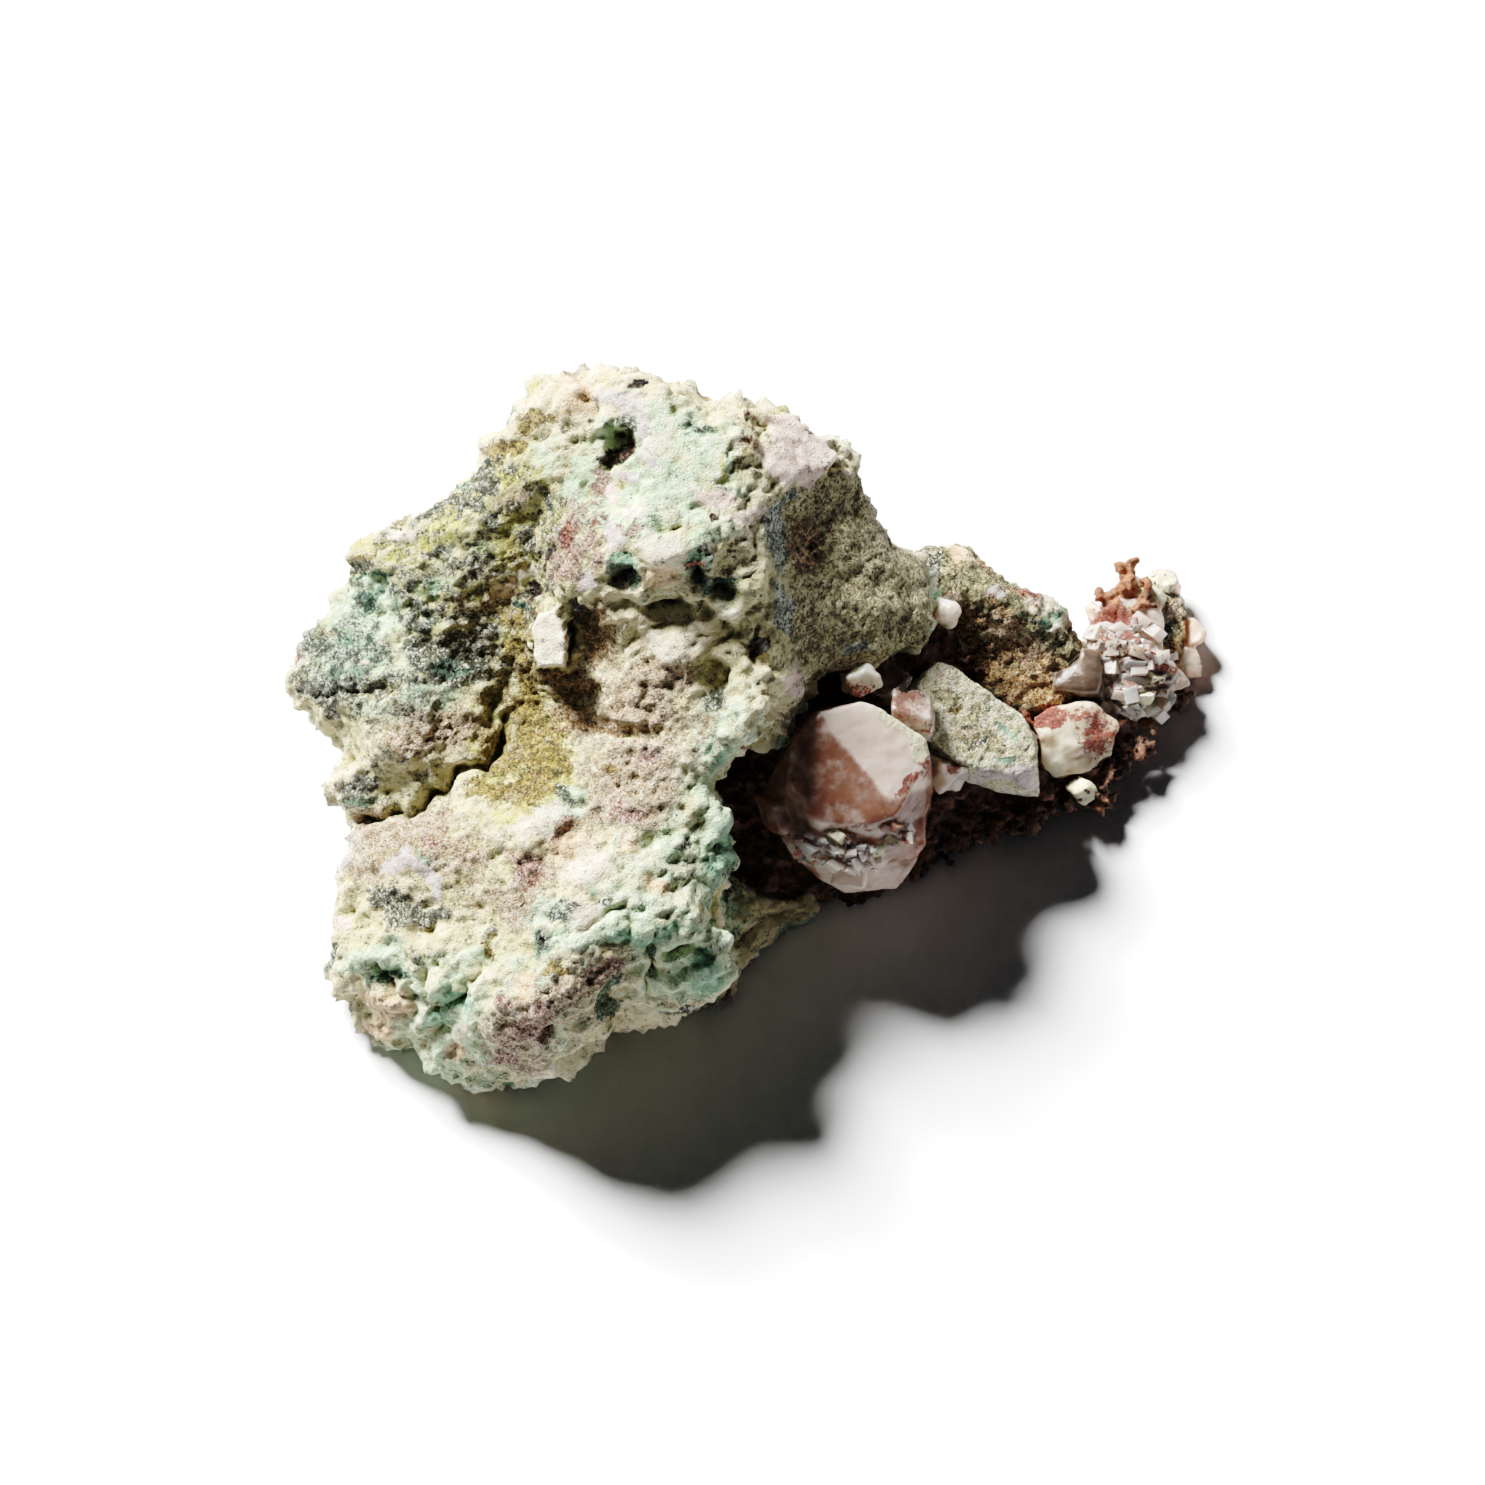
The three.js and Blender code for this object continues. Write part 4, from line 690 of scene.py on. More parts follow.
class Tree:
    """Short ways to add nodes to a material."""

    def __init__(self, name):
        self.material = bpy.data.materials.new(name)
        self.material.use_nodes = True
        self.shader = self.material.node_tree.nodes["Principled BSDF"]
        place = self.add("TexCoord").outputs["Object"]
        self.place = self.add("VectorMath", {0: place, "Scale": 1 / MM}, operation="SCALE").outputs[0]

    def add(self, kind, inputs=(), **settings):
        node = self.material.node_tree.nodes.new("ShaderNode" + kind)
        for name, value in settings.items():
            setattr(node, name, value)
        for key, value in dict(inputs).items():
            self.plug(value, node.inputs[key])
        return node

    def plug(self, value, socket):
        if isinstance(value, bpy.types.NodeSocket):
            self.material.node_tree.links.new(value, socket)
        else:
            socket.default_value = value

    def set(self, **inputs):
        for name, value in inputs.items():
            self.plug(value, self.shader.inputs[name.replace("_", " ")])

    def attribute(self, name):
        return self.add("Attribute", attribute_name=name).outputs["Fac"]

    def math(self, operation, first, second=0.0, third=0.0):
        return self.add("Math", {0: first, 1: second, 2: third}, operation=operation).outputs[0]

    def noise(self, size, detail=3, roughness=0.55, shift=0):
        place = self.add("VectorMath", {0: self.place, 1: (shift, shift, shift)}).outputs[0]
        settings = {"Vector": place, "Scale": 1 / size, "Detail": detail, "Roughness": roughness}
        return self.add("TexNoise", settings)

    def cells(self, size, place=None):
        return self.add("TexVoronoi", {"Vector": place or self.place, "Scale": 1 / size})

    def channels(self, texture):
        """The three random values of a texture's colour."""
        return self.add("SeparateColor", {0: texture.outputs["Color"]}).outputs

    def step(self, value, low, high):
        inputs = {"Value": value, "From Min": low, "From Max": high}
        return self.add("MapRange", inputs, interpolation_type="SMOOTHSTEP").outputs["Result"]

    def mix(self, share, first, second, blend="MIX"):
        inputs = {0: share, 6: first, 7: second}
        return self.add("Mix", inputs, data_type="RGBA", blend_type=blend).outputs[2]

    def mixed(self, share, first, second):
        return self.add("Mix", {0: share, 2: first, 3: second}).outputs[0]

    def ragged(self, value, noise, reach):
        """Value with noise around it: half a reach up at its highest, half a reach down at its lowest."""
        return self.math("ADD", value, self.math("MULTIPLY_ADD", noise, reach, -reach / 2))

    def tinted(self, share, colour, tint):
        """Colour multiplied by a tint as far as share says."""
        return self.mix(share, colour, self.mix(1.0, colour, linear(tint), "MULTIPLY"))

    def ramp(self, value, colours, places=(0.12, 0.38, 0.62, 0.9)):
        node = self.add("ValToRGB", {0: value})
        stops = node.color_ramp.elements
        while len(stops) < len(colours):
            stops.new(0.5)
        for stop, colour, place in zip(stops, colours, places):
            stop.position = place
            stop.color = linear(colour)
        return node.outputs[0]

    def bump(self, height, distance):
        return self.add("Bump", {"Height": height, "Distance": distance * MM, "Strength": 1.0}).outputs[0]

    def let_light_in(self, *reach):
        """How far red, green and blue light spreads below the surface, in millimetres."""
        self.shader.inputs["Subsurface Radius"].default_value = [part * MM for part in reach]
        self.shader.inputs["Subsurface Scale"].default_value = 1


def shifted_place(tree):
    """The place, shifted at random by up to about a millimetre."""
    shift = {0: tree.noise(0.8, 3, shift=73).outputs["Color"], 1: (0.5, 0.5, 0.5)}
    shift = tree.add("VectorMath", shift, operation="SUBTRACT").outputs[0]
    shift = tree.add("VectorMath", {0: shift, "Scale": 1.8}, operation="SCALE").outputs[0]
    return tree.add("VectorMath", {0: shift, 1: tree.place}).outputs[0]


def grainy_material(name, base, zones):
    """Rock with smooth tinted parts and grainy ones, whose palette changes from zone to zone."""
    tree = Tree(name)
    soft_clouds = tree.channels(tree.noise(2.8, 5, 0.62))
    ragged_clouds = tree.channels(tree.noise(1.5, 7, 0.78, shift=19))
    grains = tree.channels(tree.cells(GRAIN_SIZE))
    coarse = tree.noise(1.6, 7, 0.7, shift=31).outputs["Fac"]
    soft = tree.math("MULTIPLY_ADD", coarse, 1.5, tree.math("MULTIPLY_ADD", grains[0], 0.12, -0.26))
    sharp = tree.math("MULTIPLY_ADD", coarse, 1.1, tree.math("MULTIPLY_ADD", grains[1], 0.9, -0.5))
    colour = tree.ramp(sharp if base in GRANULAR else soft, PALETTES[base])
    grainy = 1.0 if base in GRANULAR else 0.0
    rough = 0.75
    clear = 0.0
    for number, zone in enumerate(zones):
        cover = tree.attribute(zone)
        if zone in GRANULAR:
            cover = tree.ragged(cover, ragged_clouds[number % 3], 2.0)
            cover = tree.ragged(cover, soft_clouds[(number + 1) % 3], 1.0)
            cover = tree.ragged(cover, grains[2], 0.24)
            cover = tree.step(cover, 0.38, 0.66)
        else:
            cover = tree.ragged(cover, soft_clouds[number % 3], 1.8)
            cover = tree.ragged(cover, ragged_clouds[number % 3], 1.2)
            cover = tree.step(cover, 0.22, 0.78)
        palette = tree.ramp(sharp if zone in GRANULAR else soft, PALETTES[zone])
        colour = tree.mix(tree.math("MULTIPLY", cover, ZONE_COVER.get(zone, USUAL_COVER)), colour, palette)
        grainy = tree.mixed(cover, grainy, 1.0 if zone in GRANULAR else 0.0)
        if zone in GLOSSY:
            rough = tree.math("MULTIPLY_ADD", cover, -0.35, rough)
        if zone in CALM:
            clear = tree.math("MAXIMUM", clear, cover)
    # Painted shade, with some real grime and green in the crevices: the colour darkens in hollows and turns
    # deep green in deep ones
    hollow = tree.attribute("hollow")
    depth = tree.ragged(hollow, ragged_clouds[1], 0.6)
    colour = tree.tinted(tree.step(depth, 0.05, 0.4), colour, HOLLOW_SHADE_AND_GRIME)
    colour = tree.tinted(tree.step(depth, 0.25, 0.6), colour, DEEP_HOLLOW_SHADE_AND_GREEN)
    # Painted highlight: high parts of the rock are lightened
    colour = tree.mix(tree.step(hollow, -0.05, -0.4), colour, tree.mix(0.25, colour, linear(HIGH_PART_HIGHLIGHT)))
    threads = tree.noise(2.2, 6, 0.7, shift=91).outputs["Fac"]
    threads = tree.step(tree.math("ABSOLUTE", tree.math("SUBTRACT", threads, 0.5)), 0.03, 0.008)
    threads = tree.math("MULTIPLY", threads, tree.step(ragged_clouds[0], 0.48, 0.6))
    specks = tree.step(tree.cells(0.7).outputs["Distance"], 0.26, 0.16)
    specks = tree.math("MULTIPLY", specks, tree.step(ragged_clouds[2], 0.55, 0.62))
    specks = tree.math("MAXIMUM", specks, threads)
    colour = tree.mix(tree.math("MULTIPLY", specks, 0.85), colour, linear(SPECK_COLOUR))
    # Painted shade in small pits: grainy rock darkens where the pore bump is low
    pores = tree.noise(0.5, 5, 0.78, shift=57).outputs["Fac"]
    pore_shade = tree.math("MULTIPLY", grainy, tree.step(pores, 0.47, 0.34))
    colour = tree.tinted(pore_shade, colour, PORE_SHADE)
    flakes = tree.channels(tree.cells(FLAKE_SIZE, shifted_place(tree)))[0]
    height = tree.math("MULTIPLY_ADD", tree.cells(GRAIN_SIZE).outputs["Distance"], -0.35, pores)
    height = tree.math("MULTIPLY", height, tree.math("MULTIPLY_ADD", grainy, 0.6, 0.5))
    height = tree.math("MULTIPLY_ADD", flakes, 0.2, height)
    tree.set(Base_Color=colour, Roughness=rough, Normal=tree.bump(height, 0.5))
    tree.set(Subsurface_Weight=tree.math("MULTIPLY", clear, 0.3))
    tree.let_light_in(1.2, 0.9, 0.8)
    return tree.material


def calcite_material(name, clear, milky, stain, see_through=0.0):
    """Cloudy crystal: a clear body colour, milky veils, and stained grime on parts of it."""
    tree = Tree(name)
    veils = tree.noise(3.2, 4, 0.6).outputs["Fac"]
    threads = tree.noise(1.0, 6, 0.75, shift=23).outputs["Fac"]
    fine = tree.noise(0.35, 4, 0.7, shift=11).outputs["Fac"]
    milk = tree.math("MULTIPLY_ADD", tree.attribute("milk"), 0.45, veils)
    colour = tree.mix(tree.step(milk, 0.44, 0.86), linear(clear), linear(milky))
    colour = tree.mix(tree.step(threads, 0.62, 0.8), colour, tree.mix(0.7, colour, linear(THREAD_COLOUR)))
    ragged = tree.math("MULTIPLY_ADD", fine, 1.2, tree.math("MULTIPLY_ADD", threads, 1.8, -1.5))
    grime = tree.step(tree.math("ADD", tree.attribute("stain"), ragged), 0.34, 0.52)
    palette = tree.ramp(fine, PALETTES[stain], (0.3, 0.44, 0.56, 0.72))
    colour = tree.mix(grime, colour, palette)
    crust = tree.step(tree.ragged(tree.attribute("crust"), threads, 1.2), 0.4, 0.56)
    colour = tree.mix(crust, colour, tree.ramp(fine, PALETTES["sand"], (0.3, 0.44, 0.54, 0.7)))
    dots = tree.step(tree.cells(0.9).outputs["Distance"], 0.3, 0.2)
    dots = tree.math("MULTIPLY", dots, tree.math("MULTIPLY", crust, tree.step(veils, 0.42, 0.5)))
    colour = tree.mix(dots, colour, linear(DOT_COLOUR))
    dull = tree.math("MAXIMUM", grime, crust)
    rough = tree.math("MULTIPLY_ADD", dull, 0.5, tree.math("MULTIPLY_ADD", threads, 0.3, 0.02))
    height = tree.math("MULTIPLY_ADD", fine, tree.math("MULTIPLY_ADD", dull, 1.4, 0.03), threads)
    tree.set(Base_Color=colour, Roughness=rough, Normal=tree.bump(height, 0.12))
    tree.set(Subsurface_Weight=tree.math("MULTIPLY_ADD", dull, -0.5, 0.6))
    tree.let_light_in(3.5, 2.2, 1.8)
    tree.shader.inputs["IOR"].default_value = 1.6
    tree.shader.inputs["Transmission Weight"].default_value = see_through
    return tree.material


def copper_material():
    """Native copper: bright metal on its points under brown and black oxide."""
    tree = Tree("native_copper")
    clouds = tree.noise(2.2, 4, 0.65).outputs["Fac"]
    fine = tree.noise(0.4, 4, 0.75, shift=41).outputs["Fac"]
    bright = tree.attribute("bright")
    tone = tree.math("MULTIPLY_ADD", fine, 0.55, tree.math("MULTIPLY", clouds, 0.45))
    tone = tree.math("ADD", tone, tree.math("MULTIPLY_ADD", bright, 0.1, -0.01))
    colour = tree.ramp(tone, COPPER_COLOURS, (0.4, 0.5, 0.6, 0.74))
    edge = tree.math("MULTIPLY", tree.step(tree.attribute("hollow"), -0.02, -0.25), bright)
    colour = tree.mix(edge, colour, linear(COPPER_EDGE))
    dust = tree.math("MULTIPLY", tree.step(fine, 0.6, 0.7), tree.step(clouds, 0.5, 0.6))
    colour = tree.mix(tree.math("MULTIPLY", dust, 0.7), colour, linear(COPPER_DUST))
    metal = tree.math("MULTIPLY", tree.step(tone, 0.52, 0.7), 0.5)
    rough = tree.math("MULTIPLY_ADD", fine, 0.5, 0.3)
    tree.set(Base_Color=colour, Metallic=metal, Roughness=rough, Normal=tree.bump(fine, 0.35))
    return tree.material


# Pieces, with sizes in millimetres
def streaked(place):
    """Places drawn together along the streaks, so that what is made of them is drawn out."""
    along = np.array([math.cos(STREAK_TURN), math.sin(STREAK_TURN), 0])
    return place - (1 - 1 / STREAK_STRETCH) * (place @ along)[:, None] * along


def bent(place, size, reach, seed):
    """Places moved at random by up to about a reach, in lumps of a size."""
    return place + reach * np.stack([layered(place, size, seed + axis, 2) for axis in range(3)], axis=1)


def rock_relief(place, grain, calm, seed):
    """Broken rock: chunks and scoops where it is compact, small knobs where it is granular."""
    crooked = bent(place, 1.8, 0.35, seed + 90)
    long = streaked(crooked)
    broken = 0.5 * chunks(long, 4.2, seed, 4.5, 0.36) + 0.32 * chunks(long, 1.9, seed + 9, 4.5, 0.36)
    broken += 0.18 * chunks(crooked, 0.95, seed + 20) + 0.16 * (scoops(long, 3, seed + 40) - 0.42)
    broken += 0.08 * layered(place, 1.1, seed + 2, 3, 0.62)
    knobs = 0.3 * layered(place, 2, seed + 4, 5, 0.7) + 0.18 * chunks(crooked, 0.95, seed + 5)
    return (1 - 0.7 * calm) * ((1 - 0.65 * grain) * broken + grain * knobs)


def plate_share(place, warped):
    """Height missing to the white plate's flat top, and 1 inside its outline."""
    (centre_u, centre_v), (rise_u, rise_v) = WHITE_PLATE_CENTRE, WHITE_PLATE_RISE
    level = WHITE_PLATE_LEVEL + rise_u * (place[:, 0] - centre_u) + rise_v * (place[:, 1] - centre_v)
    level = level + 0.05 * np.sin(6 * place[:, 0]) + 0.2 * noise(place, 1.2, 77)
    inside = smooth_step(0.12, -0.12, outline_distance(0.4 * place + 0.6 * warped, WHITE_PLATE))
    return np.clip(level - place[:, 2], -2, 4), inside


def main_block():
    mesh = remeshed(node_mesh("matrix_block"), BLOCK_VOXEL)
    split_front(mesh, 0.35)
    surface = Surface(mesh)
    normals = surface.rounded(12, 4, growth=0.35)
    place = to_face(surface.points)
    facing = normals @ FACE_OUT
    masks = zone_masks(place, facing, {"grey": [], **BLOCK_ZONES}, 3, BLOCK_FIELDS, BLOCK_WASHES)
    masks["grey"] *= smooth_step(0, 0.3, facing)
    grain, calm = (
        np.clip(sum(masks[name] for name in kind if name in masks), 0, 1) for kind in (GRANULAR, CALM)
    )
    rim = smooth_step(0.55, 0.1, np.abs(facing - 0.05))
    quiet = (1 - 0.4 * masks["grey"]) * (1 + rim)
    height = 0.5 * layered(place, 6, 60, 2) + quiet * rock_relief(place, grain, calm, 21)
    height += 0.5 * rim * chunks(bent(place, 2, 0.5, 64), 3.2, 66)
    warped = bent(place, 2.4, 0.7, 70)
    shown = smooth_step(0.1, 0.4, facing)
    for *oval, rise in BLOCK_OVALS:
        height += shown * rise * smooth_step(1.3, 0.2, oval_reach(warped, *oval))
    for *oval, rise in BLOCK_SWELLS:
        height += shown * rise * smooth_step(1.1, 0.1, oval_reach(place, *oval))
    for depth, width, points in BLOCK_CRACKS:
        nearest = np.min([line_distance(warped, *ends) for ends in zip(points, points[1:])], axis=0)
        height -= shown * depth * np.exp(-((nearest / width) ** 2))
    for rise, softness, outline in BLOCK_PLATES:
        height += shown * rise * smooth_step(softness, -softness, outline_distance(warped, outline))
    rise, plate = plate_share(place, warped)
    plate = np.where(facing > 0, plate, 0)
    surface.points += ((1 - plate) * height)[:, None] * normals + (plate * rise)[:, None] * FACE_OUT
    surface.store("hollow", surface.hollows(14))
    for name, mask in masks.items():
        surface.store(name, np.maximum(mask, 1.6 * plate) if name == "white" else (1 - plate) * mask)
    material = grainy_material("matrix_block", "cream", list(masks))
    finished_piece("specimen_block", surface, material, ["matrix_block"])


def clast(node, base, zones, voxel, seed, rounding, strength, tilt=0.0):
    """A grainy rock piece held by the copper, its face tilted a little to the light."""
    surface = Surface(remeshed(node_mesh(node), voxel))
    normals = surface.rounded(rounding, 2, growth=0.15)
    place = to_face(surface.points)
    away = (place[:, :2] - place[:, :2].mean(axis=0)) @ AWAY_FROM_LIGHT + TILT_START
    surface.points += (tilt * away * smooth_step(0, 0.4, normals @ FACE_OUT))[:, None] * FACE_OUT
    masks = zone_masks(place, normals @ FACE_OUT, zones, seed)
    height = strength * rock_relief(place, np.full(len(place), 0.8), 0, seed)
    surface.points += height[:, None] * normals
    surface.store("hollow", surface.hollows(8))
    for name, mask in masks.items():
        surface.store(name, mask)
    material = grainy_material(node, base, list(masks))
    finished_piece("specimen_" + node, surface, material, [node])


def add_rhombs(mesh, rows):
    """Adds sharp little crystals to a mesh: each row is a centre in millimetres, a half size and a turn."""
    work = bmesh.new()
    work.from_mesh(mesh)
    for centre, half, turn in rows:
        shape = Matrix.Diagonal((1, 0.55 + 0.08 * turn, 1.7 - 0.14 * turn, 1))
        made = bmesh.ops.create_cube(work, size=2 * half)["verts"]
        turned = Euler((1.3 * turn, 0.7 * turn, turn)).to_matrix().to_4x4()
        matrix = Matrix.Translation(Vector(centre)) @ turned @ RHOMB_LEAN @ shape
        bmesh.ops.transform(work, matrix=matrix, verts=made)
    work.to_mesh(mesh)
    work.free()


def mark_crystals(mesh, first):
    """Makes the added crystals milky, and some of them stained or crusted."""
    random = np.random.default_rng(9)
    count = (len(mesh.vertices) - first) // 8
    for name, values in (
        ("milk", random.uniform(0.1, 1.2, count)),
        ("stain", random.uniform(-0.3, 0.5, count)),
        ("crust", np.where(random.uniform(0, 1, count) > 0.93, 0.9, 0)),
    ):
        data = mesh.attributes[name].data
        stored = np.empty(len(data), dtype=np.float32)
        data.foreach_get("value", stored)
        stored[first:] = np.repeat(values, 8)
        data.foreach_set("value", stored)


def grown_crystals(surface, count, least, most, seed, keep):
    """Crystals at random points of a surface where keep is true."""
    random = np.random.default_rng(seed)
    chosen = random.choice(np.flatnonzero(keep), count, replace=False)
    return [
        (surface.points[index] + 0.3 * FACE_OUT, random.uniform(least, most), random.uniform(0, 6))
        for index in chosen
    ]


def calcite(node, material, voxel, seed, rounding=1, wave=0.15, marks=None, grow=None, lit_milky_part=None):
    """A crystal piece with gently uneven faces. Small sharp crystals grow on it where grow says so.

    Marks are ovals with their strength last, and the veil is the outline of a part painted milky pale: on
    the large calcite the sunlit side of its top face, partly real milky calcite and partly painted light.
    """
    surface = Surface(remeshed(node_mesh(node), voxel))
    normals = surface.normals()
    place = to_face(surface.points)
    surface.points += (wave * layered(place, 2.4, seed, 3))[:, None] * normals
    surface.points = surface.eased(surface.points, rounding)
    surface.points += 0.1 * normals
    warped = bent(place, 1.8, 0.6, seed + 4)
    for name in ("milk", "stain", "crust"):
        mask = np.zeros(len(place))
        for *oval, strength in (marks or {}).get(name, []):
            mask = np.maximum(mask, strength * smooth_step(1.6, 0.4, oval_reach(warped, *oval)))
        if lit_milky_part and name == "milk":
            reach = outline_distance(0.7 * place + 0.3 * warped, lit_milky_part)
            mask = np.maximum(mask, smooth_step(0.5, -0.5, reach))
        surface.store(name, mask)
    crystals = []
    if grow:
        ovals, (count, least, most) = grow
        near = np.min([oval_reach(place, *oval) for oval in ovals], axis=0) < 1
        crystals = grown_crystals(surface, count, least, most, seed, near & (normals @ FACE_OUT > -0.2))
    finished_piece("specimen_" + node, surface, material, [node], crystals)


def add_nuggets(work, centres, least, most, random):
    """Adds small lumps of random shape at centres in millimetres."""
    for centre in centres:
        made = bmesh.ops.create_icosphere(work, subdivisions=1, radius=1)["verts"]
        size = Vector(random.uniform(least, most, 3))
        turn = Euler(random.uniform(0, math.tau, 3)).to_matrix().to_4x4()
        matrix = Matrix.Translation(Vector(centre)) @ turn @ Matrix.Diagonal(size.to_4d())
        bmesh.ops.transform(work, matrix=matrix, verts=made)


def native_copper():
    """The ragged copper sheet, with nuggets all over its rim and points."""
    mesh = node_mesh("native_copper")
    points = vertex_values(mesh.vertices, "co")
    normals = vertex_values(mesh.vertex_normals, "vector")
    work = bmesh.new()
    work.from_mesh(mesh)
    random = np.random.default_rng(5)
    chosen = random.choice(len(points), COPPER_NUGGETS)
    centres = points[chosen] + random.uniform(0, 0.7, (COPPER_NUGGETS, 1)) * normals[chosen]
    add_nuggets(work, centres, 0.3, 0.95, random)
    for start, end, spread, count in SPRIG_TWIGS + RIM_TWIGS:
        share = random.uniform(0, 1, (count, 1))
        line = (1 - share) * to_row(*start) + share * to_row(*end)
        add_nuggets(work, line + spread * random.normal(size=(count, 3)), 0.22, 0.55, random)
    work.to_mesh(mesh)
    work.free()
    surface = Surface(remeshed(mesh, COPPER_VOXEL))
    place = to_face(surface.points)
    sprig = smooth_step(1.3, 0.8, oval_reach(place, *SPRIG_OVAL))
    normals = surface.smooth_normals(1)
    height = 0.7 * layered(place, 2.2, 5, 4, 0.65) + 0.5 * chunks(bent(place, 1.2, 0.3, 6), 1.1, 8)
    surface.points += ((1 - 0.8 * sprig) * height)[:, None] * normals
    sunk = smooth_step(1.2, 0.7, oval_reach(place, *COPPER_SUNK))
    surface.points -= 2.4 * sunk[:, None] * FACE_OUT
    surface.store("hollow", surface.hollows(6))
    bright = sprig.copy()
    for row in COPPER_BRIGHT:
        bright = np.maximum(bright, smooth_step(1.5, 0.5, oval_reach(place, *row)))
    surface.store("bright", bright)
    finished_piece("specimen_copper", surface, copper_material(), ["native_copper"])


def crystals():
    pink = calcite_material("calcite_pink", "#926654", "#f0dbcd", "rust", see_through=0.3)
    white = calcite_material("calcite_white", "#dfb097", "#fbe5d3", "rust", see_through=0.15)
    grey = calcite_material("calcite_grey", "#4f4036", "#8f7d6d", "umber")
    coated = calcite_material("calcite_coated", "#cdb69a", "#f0e2c8", "rust")
    calcite(
        "calcite_large", pink, voxel=0.24, seed=31,
        marks={
            "milk": [(9.4, 1.6, 1.6, 0.8, 0, 0.4), (10, -10.6, 5, 2.4, 0, 0.9),
                     (12.4, -14, 5, 2.4, 0, 0.7), (16.4, -9.6, 1.6, 2, 0, 0.5)],
            "stain": [(18.2, -2, 0.8, 2.4, 20, 0.6), (16.6, -4.4, 2, 0.6, 50, 0.7),
                      (6, 1.6, 1.2, 0.6, 40, 0.5), (12.4, -8.4, 3, 0.4, 0, 0.3)],
            "crust": [(15.4, 1.8, 2.6, 0.8, -36, 0.9), (17.8, -0.6, 1.2, 1.6, 20, 0.8),
                      (13.8, -11, 0.9, 1, 0, 0.8)],
        },
        grow=([(10, -11.2, 4.2, 1.8, -8), (15.6, -9.6, 1.4, 1.2)], (54, 0.25, 0.62)),
        # Upper right of the top face, painted milky pale where the sun falls on it: partly real milky
        # calcite, partly painted light beside the darker shaded side
        lit_milky_part=[(7.6, 3.4), (10.2, -0.4), (15, -6), (19.2, -4.4), (19.4, -1), (13, 4.4), (10, 4.6)],
    )
    calcite(
        "calcite_cluster_end", white, voxel=0.22, seed=37, wave=0.5,
        marks={
            "milk": [(39.5, 9, 4, 6, 0, 0.6), (43.6, 8, 3, 6, 0, 0.4)],
            "stain": [(38, 12.4, 2, 1.6, 0, 0.8), (36.6, 8.4, 0.7, 2, 0, 0.7), (40, 9, 3, 4, 0, 0.35)],
            "crust": [(40.6, 8.4, 1.2, 0.9, 0, 0.9), (38.7, 7.1, 1, 0.6, 0, 0.9),
                      (42.6, 15.4, 2.4, 1.8, 0, 0.9)],
        },
        grow=([(38.4, 7, 3, 5), (40.8, 6.4, 3, 4), (40.4, 10.6, 1.8, 1.8)], (165, 0.3, 0.85)),
    )
    calcite(
        "calcite_block_coated", coated, voxel=0.2, seed=41, wave=0.35,
        marks={
            "milk": [(32.6, -0.4, 2, 2.4, 0, 1)],
            "stain": [(31, 2.2, 1.8, 1.2, 0, 0.8), (36.2, 0.4, 2, 2.4, 10, 0.62),
                      (33.6, 2.6, 2.4, 0.7, 0, 0.5)],
        },
    )
    calcite("calcite_pink_blade", pink, voxel=0.16, seed=43, rounding=3, wave=0.5,
            marks={"milk": [(17.4, 2.6, 3, 3, 0, 0.3)], "stain": [(17.4, 2.6, 3, 3, 0, 0.3)]})
    calcite("calcite_pink_grain", pink, voxel=0.16, seed=44, rounding=3, wave=0.5,
            marks={"milk": [(20.6, -3.2, 3, 3, 0, 0.7)], "stain": [(21.6, -2.4, 1, 1, 0, 0.5)]})
    for node in ("calcite_white_nodule", "calcite_edge_grain"):
        calcite(node, white, voxel=0.14, seed=47, rounding=3, wave=0.6,
                marks={"milk": [(16, 9, 9, 9, 0, 0.8)], "stain": [(12, 5, 1.4, 1, 0, 0.5)]})
    calcite("calcite_pale_grain", coated, voxel=0.14, seed=49, rounding=3, wave=0.4,
            marks={"stain": [(34.7, -5.6, 1.2, 0.5, 0, 0.4)], "crust": [(34.7, -5, 2, 2, 0, 0.8)]})
    calcite("calcite_dark_grain", grey, voxel=0.16, seed=53, rounding=3, wave=0.5)
    calcite("calcite_grey_lens", grey, voxel=0.18, seed=59, rounding=9, wave=0.5)


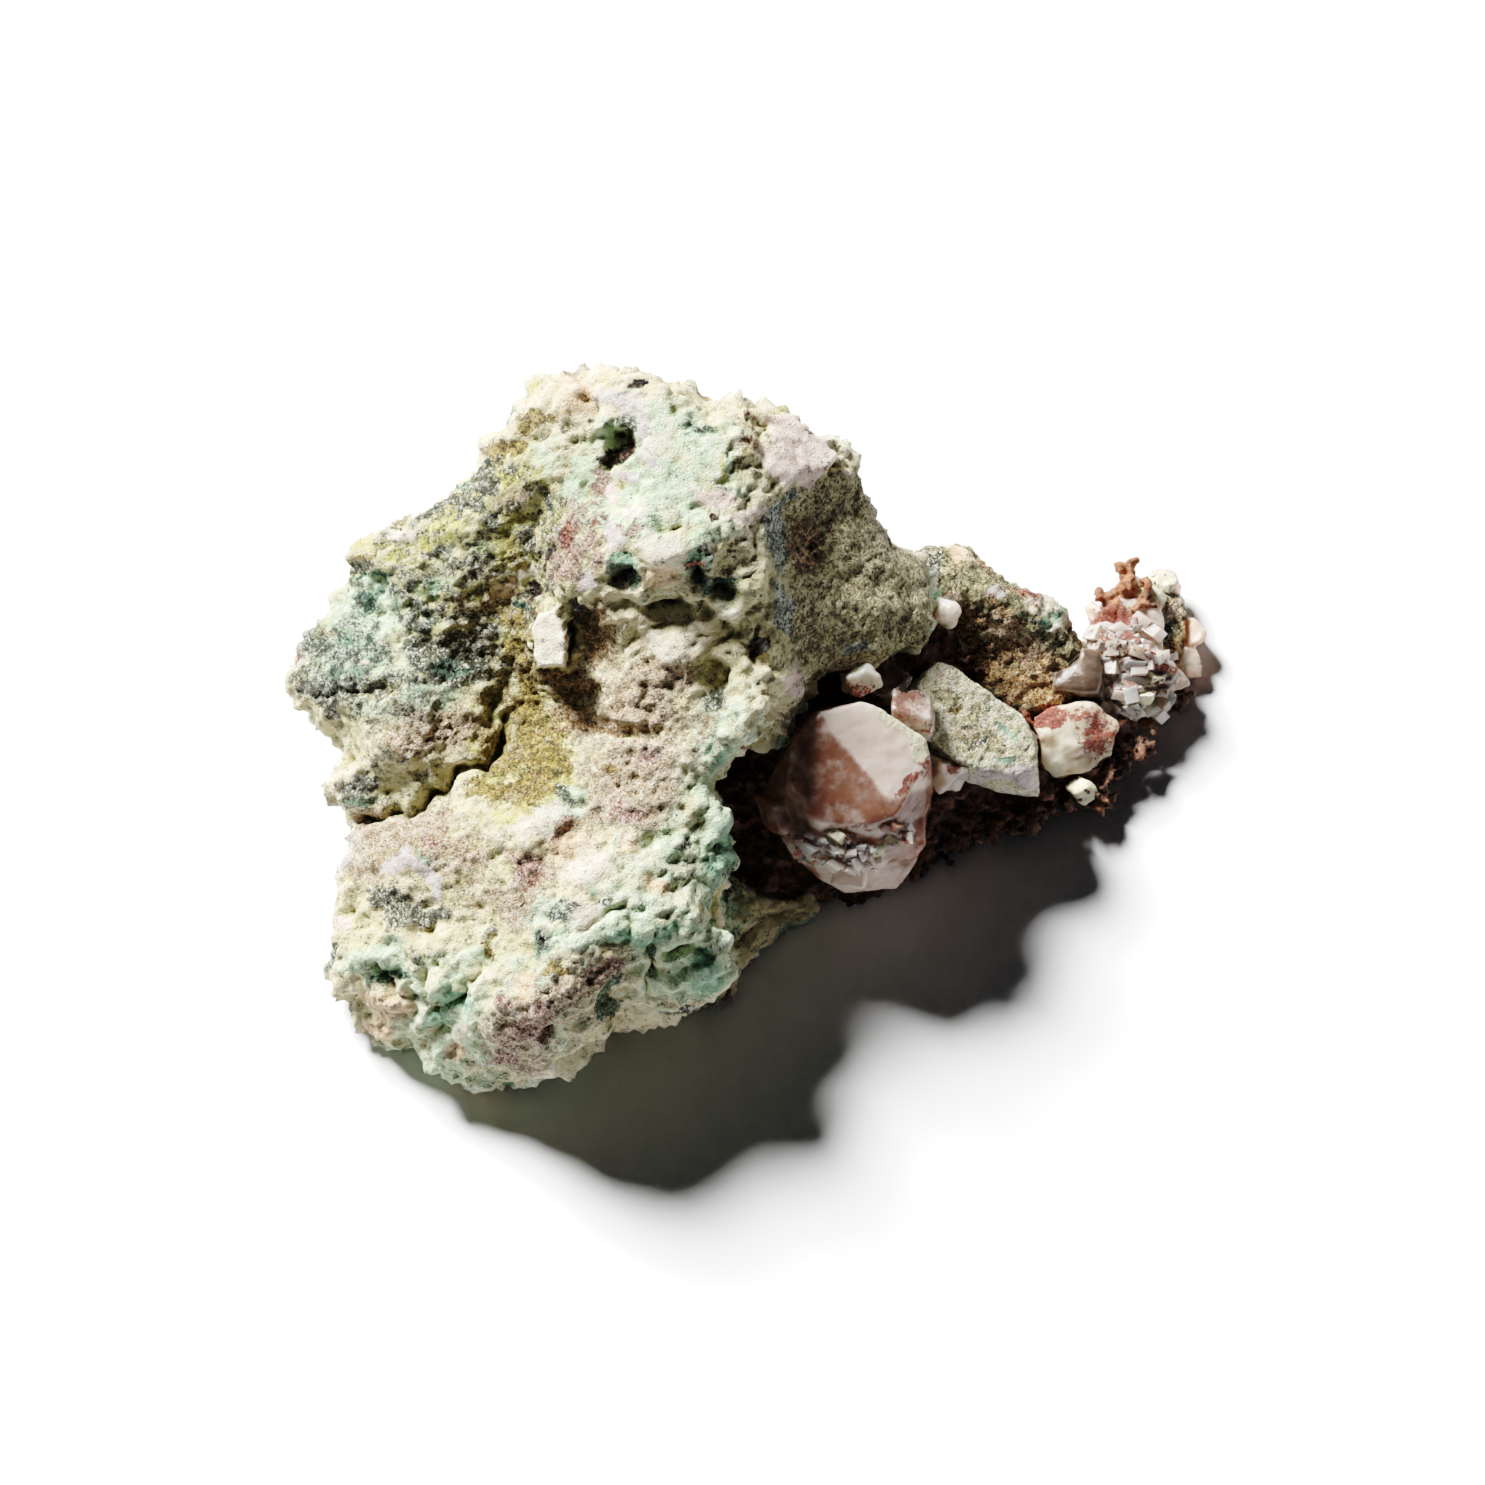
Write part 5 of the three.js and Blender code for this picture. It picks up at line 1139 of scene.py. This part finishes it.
def add_camera():
    camera = bpy.data.objects.new("camera", bpy.data.cameras.new("camera"))
    camera.data.lens = LENS
    camera.data.sensor_width = 36
    camera.data.clip_end = 10
    bpy.context.collection.objects.link(camera)
    camera.location = Vector((to_row(*CAMERA_AIM) + CAMERA_REACH * FACE_OUT) * MM)
    camera.rotation_euler = (FACE_LEAN, 0, 0)
    bpy.context.scene.camera = camera


def add_floor():
    bpy.ops.mesh.primitive_plane_add(size=4, location=(0, 0, 0))
    floor = bpy.context.object
    floor.name = "floor"
    material = bpy.data.materials.new("floor")
    material.use_nodes = True
    shader = material.node_tree.nodes["Principled BSDF"]
    shader.inputs["Base Color"].default_value = (FLOOR_GREY, FLOOR_GREY, FLOOR_GREY, 1)
    shader.inputs["Roughness"].default_value = 0.9
    shader.inputs["Specular IOR Level"].default_value = 0.1
    floor.data.materials.append(material)


def add_lights():
    light = bpy.data.lights.new("key", "SUN")
    light.energy = SUN_ENERGY
    light.angle = math.radians(SUN_ANGLE)
    key = bpy.data.objects.new("key", light)
    bpy.context.collection.objects.link(key)
    key.rotation_euler = Vector(SUN_TOWARDS).to_track_quat("Z", "Y").to_euler()
    world = bpy.data.worlds.new("world")
    world.use_nodes = True
    world.node_tree.nodes["Background"].inputs["Color"].default_value = WORLD_TINT
    world.node_tree.nodes["Background"].inputs["Strength"].default_value = WORLD_LIGHT
    bpy.context.scene.world = world
    view = bpy.context.scene.view_settings
    view.view_transform = "Standard"
    view.use_curve_mapping = True
    film = view.curve_mapping
    film.white_level = (BRIGHTEST, BRIGHTEST, BRIGHTEST)
    curve = film.curves[3]
    for light_in, light_out in FILM_CURVE:
        curve.points.new(light_in / BRIGHTEST, light_out)
    film.update()


add_camera()
add_floor()
add_lights()
main_block()
clast("clast_back", "clay", CLAST_BACK_ZONES, voxel=0.28, seed=61, rounding=6, strength=0.9)
clast("clast_front", "sand", CLAST_FRONT_ZONES, voxel=0.22, seed=67, rounding=2, strength=0.4, tilt=0.12)
clast("clast_end", "clay", CLAST_END_ZONES, voxel=0.22, seed=71, rounding=4, strength=0.7)
crystals()
native_copper()
